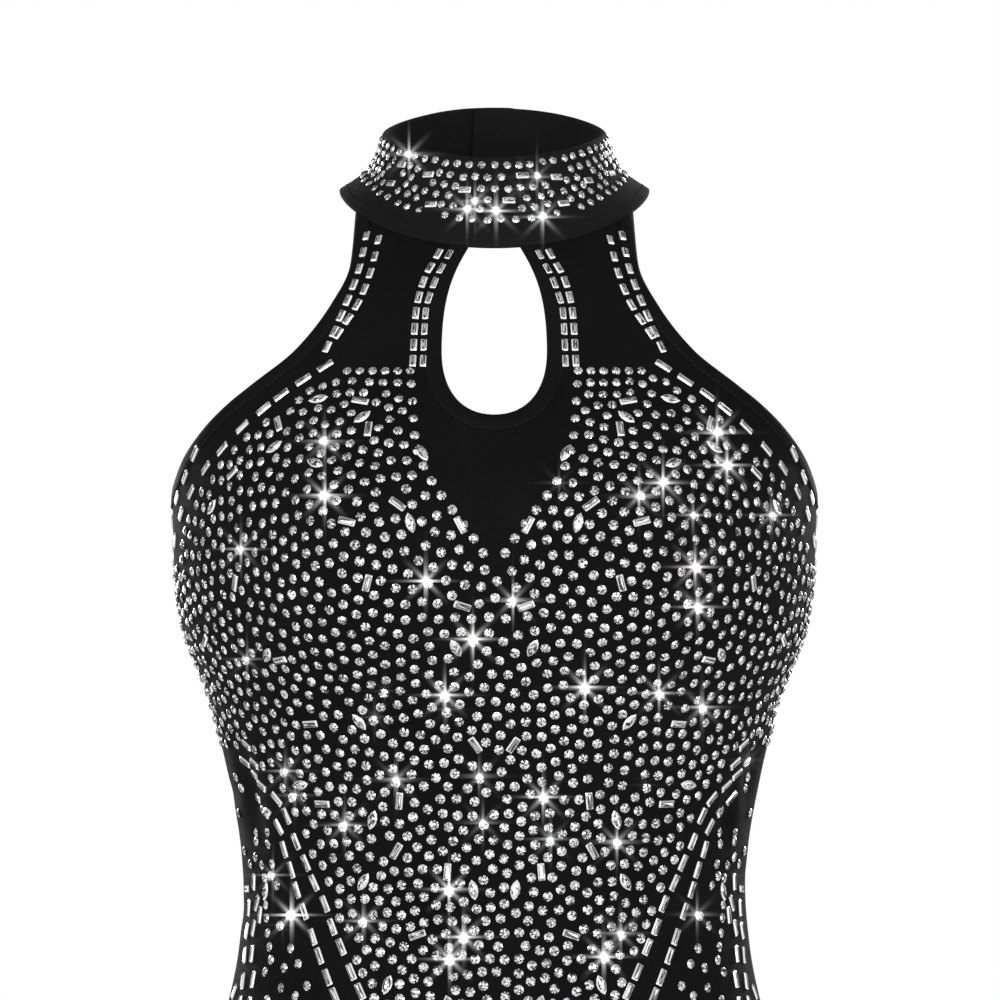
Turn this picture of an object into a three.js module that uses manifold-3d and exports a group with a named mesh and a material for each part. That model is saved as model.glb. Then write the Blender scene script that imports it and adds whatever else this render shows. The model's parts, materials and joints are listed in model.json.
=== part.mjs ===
// A halter jumpsuit in black stretch knit, in its worn, hollow form: a stand collar that laps and buttons at the
// nape, a halter front with a keyhole, an open back, and two slim legs to the ankle.
// Millimetres, +Z up, the front towards -Y and the wearer's left towards +X.
// The origin is the middle of the neck, halfway up the collar.

import * as THREE from "three";
import { mergeVertices } from "three/addons/utils/BufferGeometryUtils.js";
import Module from "manifold-3d";

// ---------------------------------------------------------------- sizes

const CLOTH = 1.4; // a panel's knit wall
const COLLAR_CLOTH = 2.4; // the collar's double band
const SEAM_GAP = 0.3; // between two panels that are sewn together

const COLLAR_SEAM = -14.4; // section heights of the front's three edges
const UNDERARM = -156.5;
const HIP_SEAM = -420;
const CROTCH = -612;
const ANKLE = -1310;
const BARE_BACK_DIP = 58; // from the underarm down to the open back's lowest point

// The body's sections. height is a section's height at the side seam. outer is the half width there, front and
// back are the depths at the centre, power is the squareness (2 is an ellipse), drop is how far the section dips
// towards its centre edge, and centre is how far its middle lies from the centre plane, once it parts into legs.
const BODY = sections("height outer front back power drop centre", [
  [-13.6, 70.9, 71.2, 70.0, 2.0, -29.4, 0],
  [-33.5, 100.0, 80.0, 76.0, 2.1, -24.0, 0],
  [-54.3, 124.0, 87.0, 80.0, 2.2, -20.0, 0],
  [-78.4, 140.0, 95.0, 83.0, 2.25, -16.0, 0],
  [-97.8, 147.0, 102.0, 85.0, 2.3, -13.0, 0],
  [-122.8, 150.0, 111.0, 87.0, 2.3, -8.5, 0],
  [-156.5, 150.0, 118.5, 89.0, 2.3, -3.0, 0],
  [-185.0, 149.4, 119.5, 92.0, 2.3, -1.0, 0],
  [-215.0, 146.0, 116.0, 92.0, 2.3, 0, 0],
  [-250.0, 133.5, 106.0, 88.0, 2.3, 0, 0],
  [-290.0, 123.5, 97.0, 80.0, 2.3, 0, 0],
  [-323.0, 118.0, 93.0, 74.0, 2.3, 0, 0],
  [-341.0, 117.0, 92.0, 72.0, 2.3, 0, 0],
  [-366.0, 119.0, 93.0, 73.5, 2.3, 0, 0],
  [-392.0, 124.0, 95.5, 77.0, 2.3, 0, 0],
  [-420.0, 133.0, 99.0, 85.0, 2.3, 0, 0],
  [-450.0, 147.0, 102.0, 97.0, 2.28, 0, 2.2],
  [-480.0, 157.0, 104.0, 108.0, 2.25, 0, 8.9],
  [-500.0, 163.5, 104.5, 114.0, 2.22, 0, 18.8],
  [-520.0, 168.0, 104.5, 118.5, 2.2, 0, 30.3],
  [-540.0, 170.8, 104.2, 121.0, 2.15, 0, 43.3],
  [-560.0, 172.0, 103.5, 122.0, 2.1, 0, 56.6],
  [-575.0, 172.3, 102.6, 121.0, 2.05, 0, 65.9],
  [-590.0, 172.2, 101.5, 118.0, 2.0, 0, 74.4],
  [-600.0, 172.0, 100.7, 115.2, 1.96, 0, 80.0],
  [-612.0, 171.5, 99.5, 111.2, 1.92, 0, 85.75],
  [-625.0, 170.5, 98.1, 107.0, 1.9, 0, 89.5],
  [-640.0, 169.1, 96.4, 103.0, 1.9, 0, 91.5],
  [-660.0, 167.0, 94.0, 98.8, 1.92, 0, 92.2],
  [-700.0, 163.8, 89.5, 92.8, 1.96, 0, 91.8],
  [-740.0, 160.0, 85.0, 88.0, 2.0, 0, 90.8],
  [-800.0, 155.0, 78.0, 80.0, 2.0, 0, 91.2],
  [-860.0, 151.0, 70.0, 70.0, 2.0, 0, 92.6],
  [-921.0, 148.0, 62.0, 59.0, 2.0, 0, 94.0],
  [-980.0, 148.0, 56.0, 62.0, 2.0, 0, 94.8],
  [-1050.0, 150.0, 52.0, 66.0, 2.0, 0, 96.0],
  [-1120.0, 150.0, 48.0, 62.0, 2.0, 0, 97.5],
  [-1190.0, 149.0, 46.0, 54.0, 2.0, 0, 98.5],
  [-1250.0, 149.0, 46.0, 50.0, 2.0, 0, 99.5],
  [-1310.0, 149.5, 47.0, 49.0, 2.0, 0, 100.5],
]);
const DIP_POWER = 1.25; // how a section's dip grows towards the centre edge

// The front's half width at the armhole edge, from the collar seam to the underarm.
const ARMHOLE = sections("height width", [
  [-13.6, 63.5],
  [-33.5, 65.2],
  [-54.3, 74.0],
  [-78.4, 89.8],
  [-97.8, 109.8],
  [-109.6, 121.7],
  [-122.8, 132.7],
  [-137.1, 142.0],
  [-148.7, 147.1],
  [-156.5, 150.0],
]);

const BUST = { proud: 24, apart: 74, height: -180, acrossSpread: 38, upSpread: 38, downSpread: 42 };

// Soft troughs at the sides of the waist. across runs from -1 at the wearer's right side seam to 1 at the left.
const FRONT_FOLDS = [
  { across: -0.73, top: -262, bottom: -322, depth: 4.0, spread: 0.045 },
  { across: 0.68, top: -283, bottom: -318, depth: 3.5, spread: 0.04 },
  { across: 0.8, top: -262, bottom: -306, depth: 3.5, spread: 0.04 },
];
const BACK_FOLDS = [
  { across: -0.62, top: -285, bottom: -345, depth: 3.5, spread: 0.05 },
  { across: 0.7, top: -270, bottom: -318, depth: 4.0, spread: 0.045 },
];

// The keyhole's half widths and heights: it is open to the collar above. Each side is two curves that meet where it
// is widest, and the pulls are the curves' control points, as [half width, height].
const KEYHOLE = {
  halfWidth: 24.3,
  widest: -91,
  bottom: -120.9,
  topHalfWidth: 12.3,
  top: -43.3,
  shoulderPulls: [[20, -56], [24.3, -68]],
  footPulls: [[24.3, -110], [15, -120.9]],
};
const CUTTER = { top: -15, depth: 200 };

// The collar's rings, from its seam to its upper edge. front, back and width are the ring's half sizes, drop is how
// far it dips at the centre front and rise how far it climbs at the nape.
const COLLAR = sections("ring height width front back drop rise", [
  [0, -13.6, 71.5, 72.0, 62.0, -29.4, 6.2],
  [0.18, -9.5, 65.0, 68.5, 58.6, -27.0, 7.4],
  [0.4, -4.5, 58.5, 64.5, 55.2, -23.8, 9.2],
  [0.65, 1.5, 55.0, 60.5, 52.6, -20.0, 11.5],
  [0.85, 7.5, 53.0, 57.0, 51.0, -17.0, 13.3],
  [1, 12.0, 51.8, 54.0, 50.0, -14.9, 14.5],
]);
const LAP = { halfAngle: 0.17, ramp: 0.6, lift: COLLAR_CLOTH + SEAM_GAP };

// A binding stops a little way below the collar seam.
const BINDING = { width: 7, thickness: 1, lift: 0.3, top: COLLAR_SEAM - 1.4 };

const BUTTON = { radius: 4.5, height: 2.4, rim: 0.7, dish: 0.6, seat: 0.45, rings: [0.28, 0.72] };

// How many cells each wall is divided into, and how strongly its rows crowd towards the underarm and the crotch.
const FRONT_CELLS = { across: 32, halter: 13, torso: 17, crowding: 1.6 };
const BACK_CELLS = { across: 26, down: 16 };
const LEG_CELLS = { around: 10, hip: 10, leg: 14, hipCrowding: 1.7, legCrowding: 1.25 };
const COLLAR_CELLS = { around: 46, up: 5 };
const BINDING_CELLS = { across: 3, keyhole: 40, armhole: 26, back: 34 };
const KEYHOLE_CELLS = 7; // on each of its outline's curves
const BUTTON_SIDES = 20;

// How finely an edge is followed before its binding's cells are set evenly along it.
const EDGE_STEPS = { keyhole: 48, armhole: 60, armholeCrowding: 2, back: 80 };
const WALK_STEPS = 4;
const SEARCH_STEPS = 40;

// ---------------------------------------------------------------- curves and surfaces

// A table of sections with named columns: the result gives every column at any height, as smooth curves that keep
// between the rows' values.
function sections(columns, rows) {
  const [, ...names] = columns.split(" ");
  const heights = rows.map((row) => row[0]);
  const curves = names.map((_, i) => smoothCurve(heights, rows.map((row) => row[i + 1])));
  return (height) => Object.fromEntries(names.map((name, i) => [name, curves[i](height)]));
}

function smoothCurve(at, values) {
  const last = at.length - 1;
  const secants = values.slice(1).map((value, i) => (value - values[i]) / (at[i + 1] - at[i]));
  const slopes = values.map((_, i) => {
    if (i === 0) return secants[0];
    if (i === last) return secants[last - 1];
    const before = secants[i - 1];
    const after = secants[i];
    return before * after > 0 ? (2 * before * after) / (before + after) : 0;
  });
  const downwards = at[last] < at[0];
  return (x) => {
    const passed = at.findIndex((edge) => (downwards ? x > edge : x < edge));
    if (passed === 0) return values[0] + slopes[0] * (x - at[0]);
    if (passed < 0) return values[last] + slopes[last] * (x - at[last]);
    const i = passed - 1;
    const span = at[passed] - at[i];
    const u = (x - at[i]) / span;
    const mix = u * u * (3 - 2 * u);
    const bend = u * (1 - u) * span * ((1 - u) * slopes[i] - u * slopes[passed]);
    return values[i] + (values[passed] - values[i]) * mix + bend;
  };
}

const signedPower = (value, power) => Math.sign(value) * Math.abs(value) ** power;

const bell = (distance, spread) => Math.exp(-((distance / spread) ** 2) / 2);

const easedStep = (u) => {
  const held = THREE.MathUtils.clamp(u, 0, 1);
  return held * held * (3 - 2 * held);
};

// count + 1 values from one end to the other, closer together towards the end when crowding is over 1.
function spaced(from, to, count, crowding = 1) {
  return Array.from({ length: count + 1 }, (_, i) => to + (from - to) * (1 - i / count) ** crowding);
}

function bustDepth(x, z) {
  const spread = z > BUST.height ? BUST.upSpread : BUST.downSpread;
  return BUST.proud * bell(Math.abs(x) - BUST.apart, BUST.acrossSpread) * bell(z - BUST.height, spread);
}

function foldDepth(folds, across, z) {
  return folds.reduce((sum, fold) => {
    const middle = (fold.top + fold.bottom) / 2;
    const halfLength = (fold.top - fold.bottom) / 2;
    return sum + fold.depth * bell(across - fold.across, fold.spread) * bell(z - middle, halfLength / 2);
  }, 0);
}

// A point of one quarter of the body. inward runs from 0 at the side seam to 1 at the centre edge; face is -1 on
// the front and 1 on the back; side is 1 on the wearer's left and -1 on the right.
function bodyPoint(inward, height, face, side) {
  const row = BODY(height);
  const reach = row.outer - row.centre;
  const turned = row.centre < reach ? Math.PI - Math.acos((row.centre / reach) ** (row.power / 2)) : Math.PI;
  const angle = inward * turned;
  const z = height + row.drop * Math.abs(Math.sin((inward * Math.PI) / 2)) ** ((2 * DIP_POWER) / row.power);
  const x = row.centre + reach * signedPower(Math.cos(angle), 2 / row.power);
  const depth = face < 0 ? row.front + bustDepth(x, z) : row.back;
  const y = SEAM_GAP / 2 + depth * signedPower(Math.sin(angle), 2 / row.power);
  const fold = foldDepth(face < 0 ? FRONT_FOLDS : BACK_FOLDS, side * (1 - inward), z);
  return new THREE.Vector3(side * (x - fold * Math.cos(angle)), face * (y - fold * Math.sin(angle)), z);
}

// The front and back cross the centre, so across runs from -1 at the right side seam to 1 at the left.
const torsoSurface = (face) => (across, height) => bodyPoint(1 - Math.abs(across), height, face, across < 0 ? -1 : 1);

// A leg's panels stop half a seam gap short of the centre plane.
const legSurface = (face, side) => (inward, height) =>
  bodyPoint(inward, height, face, side).add(new THREE.Vector3((side * SEAM_GAP) / 2, 0, 0));

// The collar is one band: turn runs past a whole round, from the under lap at the nape to the over lap, which
// rises clear of it. ring runs from 0 at the seam to 1 at the upper edge.
function collarSurface(turn, ring) {
  const row = COLLAR(ring);
  const towardsBack = Math.cos(turn);
  const [depth, tilt] = towardsBack > 0 ? [row.back, row.rise] : [row.front, row.drop];
  return new THREE.Vector3(
    row.width * Math.sin(turn),
    depth * towardsBack,
    row.height + tilt * Math.abs(towardsBack) ** DIP_POWER,
  );
}

function lapLift(turn) {
  const whole = 2 * Math.PI - LAP.halfAngle;
  return LAP.lift * easedStep((turn - whole + LAP.ramp) / LAP.ramp);
}

const PROBE = { across: 1e-4, height: 1e-2 };

// The surface's two tangents and its normal, which points away from the wearer.
function frameAt(surface, a, b, away) {
  const stepB = away.ring ? PROBE.across : PROBE.height;
  const alongA = surface(a + PROBE.across, b).sub(surface(a - PROBE.across, b)).divideScalar(2 * PROBE.across);
  const alongB = surface(a, b + stepB).sub(surface(a, b - stepB)).divideScalar(2 * stepB);
  const normal = alongA.clone().cross(alongB).normalize().multiplyScalar(away.sign);
  return { alongA, alongB, normal };
}

// Which way each surface's tangents turn, and whether its second measure is a ring's share, not a height.
const FRONT_AWAY = { sign: 1 };
const BACK_AWAY = { sign: -1 };
const legAway = (face, side) => ({ sign: face * side });
const COLLAR_AWAY = { sign: -1, ring: true };

const lifted = (surface, away) => (a, b, distance) =>
  surface(a, b).addScaledVector(frameAt(surface, a, b, away).normal, distance);

// ---------------------------------------------------------------- solids

// A closed wall between a grid of outer points and the grid of inner points behind them.
function wallGeometry(outer, inner) {
  const rows = outer.length;
  const columns = outer[0].length;
  const points = [...outer.flat(), ...inner.flat()];
  const index = (layer, row, column) => (layer * rows + row) * columns + column;
  const triangles = [];
  const quad = (a, b, c, d) => {
    const straight = points[a].distanceTo(points[c]) <= points[b].distanceTo(points[d]);
    triangles.push(...(straight ? [a, b, c, a, c, d] : [a, b, d, b, c, d]));
  };
  for (let row = 0; row < rows - 1; row++)
    for (let column = 0; column < columns - 1; column++) {
      const corners = (layer) => [
        index(layer, row, column),
        index(layer, row + 1, column),
        index(layer, row + 1, column + 1),
        index(layer, row, column + 1),
      ];
      quad(...corners(0));
      quad(...corners(1).reverse());
    }
  for (let row = 0; row < rows - 1; row++)
    for (const [column, from, to] of [[0, row + 1, row], [columns - 1, row, row + 1]])
      quad(index(0, from, column), index(0, to, column), index(1, to, column), index(1, from, column));
  for (let column = 0; column < columns - 1; column++)
    for (const [row, from, to] of [[0, column, column + 1], [rows - 1, column + 1, column]])
      quad(index(0, row, from), index(0, row, to), index(1, row, to), index(1, row, from));
  return facingOut(points, triangles);
}

function facingOut(points, triangles) {
  let volume = 0;
  for (let i = 0; i < triangles.length; i += 3) {
    const [a, b, c] = triangles.slice(i, i + 3).map((corner) => points[corner]);
    volume += a.dot(b.clone().cross(c));
  }
  const turned = volume < 0 ? triangles.slice().reverse() : triangles;
  return new THREE.BufferGeometry().setFromPoints(points).setIndex(turned);
}

// A wall through a grid of surface places, from one distance off the surface to another. A wall that ends on a
// seam keeps its own half of the seam's gap.
function surfaceWall(surface, away, grid, innerLift, outerLift, keepClear = (point) => point) {
  const place = lifted(surface, away);
  const layer = (lift) => grid.map((row) => row.map(([a, b]) => keepClear(place(a, b, lift(a)))));
  return wallGeometry(layer(outerLift), layer(innerLift));
}

// Holds a point on its own side of the side and hip seams, and on a leg, where side is given, of the centre seam.
const withinSeams = (face, side) => (point) => {
  point.y = face * Math.max(face * point.y, SEAM_GAP / 2);
  if (side) point.x = side * Math.max(side * point.x, SEAM_GAP / 2);
  if (side) point.z = Math.min(point.z, HIP_SEAM - SEAM_GAP / 2);
  else point.z = Math.max(point.z, HIP_SEAM + SEAM_GAP / 2);
  return point;
};

const still = (distance) => () => distance;

// The armhole edge as a place across the front: 1 is the side seam.
function armholeAcross(height) {
  const { outer, power } = BODY(height);
  const share = Math.min(ARMHOLE(height).width / outer, 1);
  return 1 - (2 / Math.PI) * Math.acos(share ** (power / 2));
}

const bareBackEdge = (across) => UNDERARM - BARE_BACK_DIP * easedStep(1 - Math.abs(across));

function frontGrid() {
  const { across, halter, torso, crowding } = FRONT_CELLS;
  const heights = [
    ...spaced(COLLAR_SEAM, UNDERARM, halter, crowding),
    ...spaced(UNDERARM, HIP_SEAM + SEAM_GAP / 2, torso).slice(1),
  ];
  return heights.map((height) => {
    const edge = height > UNDERARM ? armholeAcross(height) : 1;
    return spaced(-edge, edge, across).map((a) => [a, height]);
  });
}

function backGrid() {
  const columns = spaced(-1, 1, BACK_CELLS.across);
  return spaced(0, 1, BACK_CELLS.down).map((down) =>
    columns.map((a) => [a, THREE.MathUtils.lerp(bareBackEdge(a), HIP_SEAM + SEAM_GAP / 2, down)]),
  );
}

function legGrid() {
  const { around, hip, leg, hipCrowding, legCrowding } = LEG_CELLS;
  const heights = [
    ...spaced(HIP_SEAM - SEAM_GAP / 2, CROTCH, hip, hipCrowding),
    ...spaced(ANKLE, CROTCH, leg, legCrowding).reverse().slice(1),
  ];
  return heights.map((height) => spaced(0, 1, around).map((inward) => [inward, height]));
}

function collarGrid() {
  const turns = spaced(-LAP.halfAngle, 2 * Math.PI + LAP.halfAngle, COLLAR_CELLS.around);
  return spaced(0, 1, COLLAR_CELLS.up).map((ring) => turns.map((turn) => [turn, ring]));
}

// The keyhole's edge from the collar down one side, round the bottom and up the other, in x and z.
function keyholePath() {
  const { halfWidth, widest, bottom, topHalfWidth, top, shoulderPulls, footPulls } = KEYHOLE;
  const mirrored = (pulls) => pulls.map(([x, z]) => [-x, z]).reverse();
  const path = new THREE.Path();
  path.moveTo(topHalfWidth, top);
  path.bezierCurveTo(...shoulderPulls.flat(), halfWidth, widest);
  path.bezierCurveTo(...footPulls.flat(), 0, bottom);
  path.bezierCurveTo(...mirrored(footPulls).flat(), -halfWidth, widest);
  path.bezierCurveTo(...mirrored(shoulderPulls).flat(), -topHalfWidth, top);
  return path;
}

function keyholeCutter() {
  const outline = [
    ...keyholePath().getPoints(KEYHOLE_CELLS),
    new THREE.Vector2(-KEYHOLE.topHalfWidth, CUTTER.top),
    new THREE.Vector2(KEYHOLE.topHalfWidth, CUTTER.top),
  ];
  const settings = { depth: CUTTER.depth, bevelEnabled: false };
  return new THREE.ExtrudeGeometry(new THREE.Shape(outline), settings).rotateX(Math.PI / 2);
}

// The place on the front that lies at a given x and z.
function frontPlace(x, z) {
  const across = (height) => {
    const { outer, power } = BODY(height);
    return 1 - (2 / Math.PI) * Math.acos((Math.abs(x) / outer) ** (power / 2));
  };
  let [upper, lower] = [0, UNDERARM];
  for (let i = 0; i < SEARCH_STEPS; i++) {
    const middle = (upper + lower) / 2;
    if (torsoSurface(-1)(across(middle), middle).z > z) upper = middle;
    else lower = middle;
  }
  return [Math.sign(x) * across(lower), lower];
}

// A path walked across the surface by a distance, square to its own direction.
function walkedAcross(surface, away, path, distance) {
  return path.map((start, i) => {
    const before = surface(...path[Math.max(i - 1, 0)]);
    const along = surface(...path[Math.min(i + 1, path.length - 1)]).sub(before);
    let [a, b] = start;
    for (let step = 0; step < WALK_STEPS; step++) {
      const { alongA, alongB, normal } = frameAt(surface, a, b, away);
      const stride = normal.clone().cross(along).normalize().multiplyScalar(distance / WALK_STEPS);
      const [aa, ab, bb] = [alongA.dot(alongA), alongA.dot(alongB), alongB.dot(alongB)];
      const [ra, rb] = [alongA.dot(stride), alongB.dot(stride)];
      const scale = 1 / (aa * bb - ab * ab);
      a += (ra * bb - rb * ab) * scale;
      b += (rb * aa - ra * ab) * scale;
    }
    return [a, b];
  });
}

// The part of a path at or below a height, ending on that height where the path crosses it.
function keptBelow(path, limit) {
  const kept = [];
  path.forEach(([a, b], i) => {
    const previous = path[i - 1];
    if (previous && previous[1] > limit !== b > limit) {
      const share = (limit - previous[1]) / (b - previous[1]);
      kept.push([previous[0] + (a - previous[0]) * share, limit]);
    }
    if (b <= limit) kept.push([a, b]);
  });
  return kept;
}

// The path's points set evenly along it, on the surface.
function evenly(surface, path, count) {
  const lengths = path.map((place, i) => (i ? surface(...place).distanceTo(surface(...path[i - 1])) : 0));
  const total = lengths.reduce((sum, length) => sum + length, 0);
  const result = [];
  let [i, passed] = [1, 0];
  for (const target of spaced(0, total, count)) {
    while (i < path.length - 1 && passed + lengths[i] < target) passed += lengths[i++];
    const share = Math.min((target - passed) / lengths[i], 1);
    result.push([0, 1].map((axis) => THREE.MathUtils.lerp(path[i - 1][axis], path[i][axis], share)));
  }
  return result;
}

// A narrow band stitched along an edge: it lies on the panel from the edge to its own width inwards.
function bindingGeometry(surface, away, edge, side, cells) {
  const { width, lift, thickness, top } = BINDING;
  const inner = evenly(surface, keptBelow(edge, top), cells);
  const outer = evenly(surface, keptBelow(walkedAcross(surface, away, edge, side * width), top), cells);
  const grid = spaced(0, 1, BINDING_CELLS.across).map((share) =>
    inner.map(([a, b], i) => [
      THREE.MathUtils.lerp(a, outer[i][0], share),
      THREE.MathUtils.lerp(b, outer[i][1], share),
    ]),
  );
  const face = away === FRONT_AWAY ? -1 : 1;
  return surfaceWall(surface, away, grid, still(lift), still(lift + thickness), withinSeams(face));
}

function buttonGeometry() {
  const { radius, height, rim, dish } = BUTTON;
  const profile = [
    [0, 0],
    [radius - rim, 0],
    [radius, rim],
    [radius, height - rim],
    [radius - rim, height],
    [radius - 2 * rim, height],
    [radius - 3 * rim, height - dish],
    [0, height - dish],
  ];
  const geometry = new THREE.LatheGeometry(profile.map(([r, y]) => new THREE.Vector2(r, y)), BUTTON_SIDES);
  return geometry.rotateX(Math.PI / 2);
}

// ---------------------------------------------------------------- cutting

const wasm = await Module();
wasm.setup();

function toManifold(geometry) {
  const bare = new THREE.BufferGeometry().setAttribute("position", geometry.getAttribute("position"));
  const merged = mergeVertices(geometry.index ? bare.setIndex(geometry.index) : bare, 1e-4);
  return new wasm.Manifold(
    new wasm.Mesh({
      numProp: 3,
      vertProperties: merged.getAttribute("position").array,
      triVerts: new Uint32Array(merged.index.array),
    }),
  );
}

function toGeometry(solid) {
  const { vertProperties, triVerts } = solid.getMesh();
  return new THREE.BufferGeometry()
    .setAttribute("position", new THREE.BufferAttribute(vertProperties, 3))
    .setIndex(new THREE.BufferAttribute(triVerts, 1));
}

// ---------------------------------------------------------------- the jumpsuit

const knit = new THREE.MeshStandardMaterial({ color: 0x19181a, roughness: 0.85, metalness: 0 });
const collarKnit = new THREE.MeshStandardMaterial({ color: 0x1b1a1c, roughness: 0.8, metalness: 0 });
const bindingKnit = new THREE.MeshStandardMaterial({ color: 0x161517, roughness: 0.75, metalness: 0 });
const buttonPlastic = new THREE.MeshStandardMaterial({ color: 0x0c0c0d, roughness: 0.25, metalness: 0 });

const jumpsuit = new THREE.Group();

function addPiece(name, geometry, material) {
  geometry.computeVertexNormals();
  const mesh = new THREE.Mesh(geometry, material);
  mesh.name = name;
  jumpsuit.add(mesh);
  return mesh;
}

function addTorso() {
  const front = torsoSurface(-1);
  const back = torsoSurface(1);
  const frontWall = surfaceWall(front, FRONT_AWAY, frontGrid(), still(-CLOTH), still(0), withinSeams(-1));
  addPiece("front", toGeometry(toManifold(frontWall).subtract(toManifold(keyholeCutter()))), knit);
  addPiece("back", surfaceWall(back, BACK_AWAY, backGrid(), still(-CLOTH), still(0), withinSeams(1)), knit);

  const { keyhole, armhole, back: backCells } = BINDING_CELLS;
  const keyholeEdge = keyholePath().getSpacedPoints(EDGE_STEPS.keyhole).map(({ x, y }) => frontPlace(x, y));
  addPiece("keyhole_binding", bindingGeometry(front, FRONT_AWAY, keyholeEdge, 1, keyhole), bindingKnit);
  const armholeHeights = spaced(COLLAR_SEAM, UNDERARM, EDGE_STEPS.armhole, EDGE_STEPS.armholeCrowding);
  for (const [name, side] of [["left", 1], ["right", -1]]) {
    const edge = armholeHeights.map((height) => [side * armholeAcross(height), height]);
    addPiece("armhole_binding_" + name, bindingGeometry(front, FRONT_AWAY, edge, -side, armhole), bindingKnit);
  }
  const backEdge = spaced(-1, 1, EDGE_STEPS.back).map((across) => [across, bareBackEdge(across)]);
  addPiece("back_binding", bindingGeometry(back, BACK_AWAY, backEdge, -1, backCells), bindingKnit);
}

function addLegs() {
  for (const [name, side] of [["left", 1], ["right", -1]])
    for (const [panel, face] of [["front", -1], ["back", 1]]) {
      const surface = legSurface(face, side);
      const clear = withinSeams(face, side);
      const wall = surfaceWall(surface, legAway(face, side), legGrid(), still(-CLOTH), still(0), clear);
      addPiece("leg_" + panel + "_" + name, wall, knit);
    }
}

function addCollar() {
  const innerLift = (turn) => lapLift(turn) - COLLAR_CLOTH;
  addPiece("collar", surfaceWall(collarSurface, COLLAR_AWAY, collarGrid(), innerLift, lapLift), collarKnit);

  const nape = 2 * Math.PI;
  ["lower", "upper"].forEach((name, i) => {
    const ring = BUTTON.rings[i];
    const { normal } = frameAt(collarSurface, nape, ring, COLLAR_AWAY);
    const button = addPiece("nape_button_" + name, buttonGeometry(), buttonPlastic);
    button.position.copy(lifted(collarSurface, COLLAR_AWAY)(nape, ring, LAP.lift + BUTTON.seat));
    button.quaternion.setFromUnitVectors(new THREE.Vector3(0, 0, 1), normal);
  });
}

addTorso();
addLegs();
addCollar();

export default jumpsuit;
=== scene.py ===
"""A rhinestone halter jumpsuit in black stretch knit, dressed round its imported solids.

The tables are in millimetres and meshes are made in metres. +Z is up, the front faces -Y and the wearer's
left is +X. The origin is the middle of the neck, halfway up the collar.
"""

import json
import math

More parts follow.
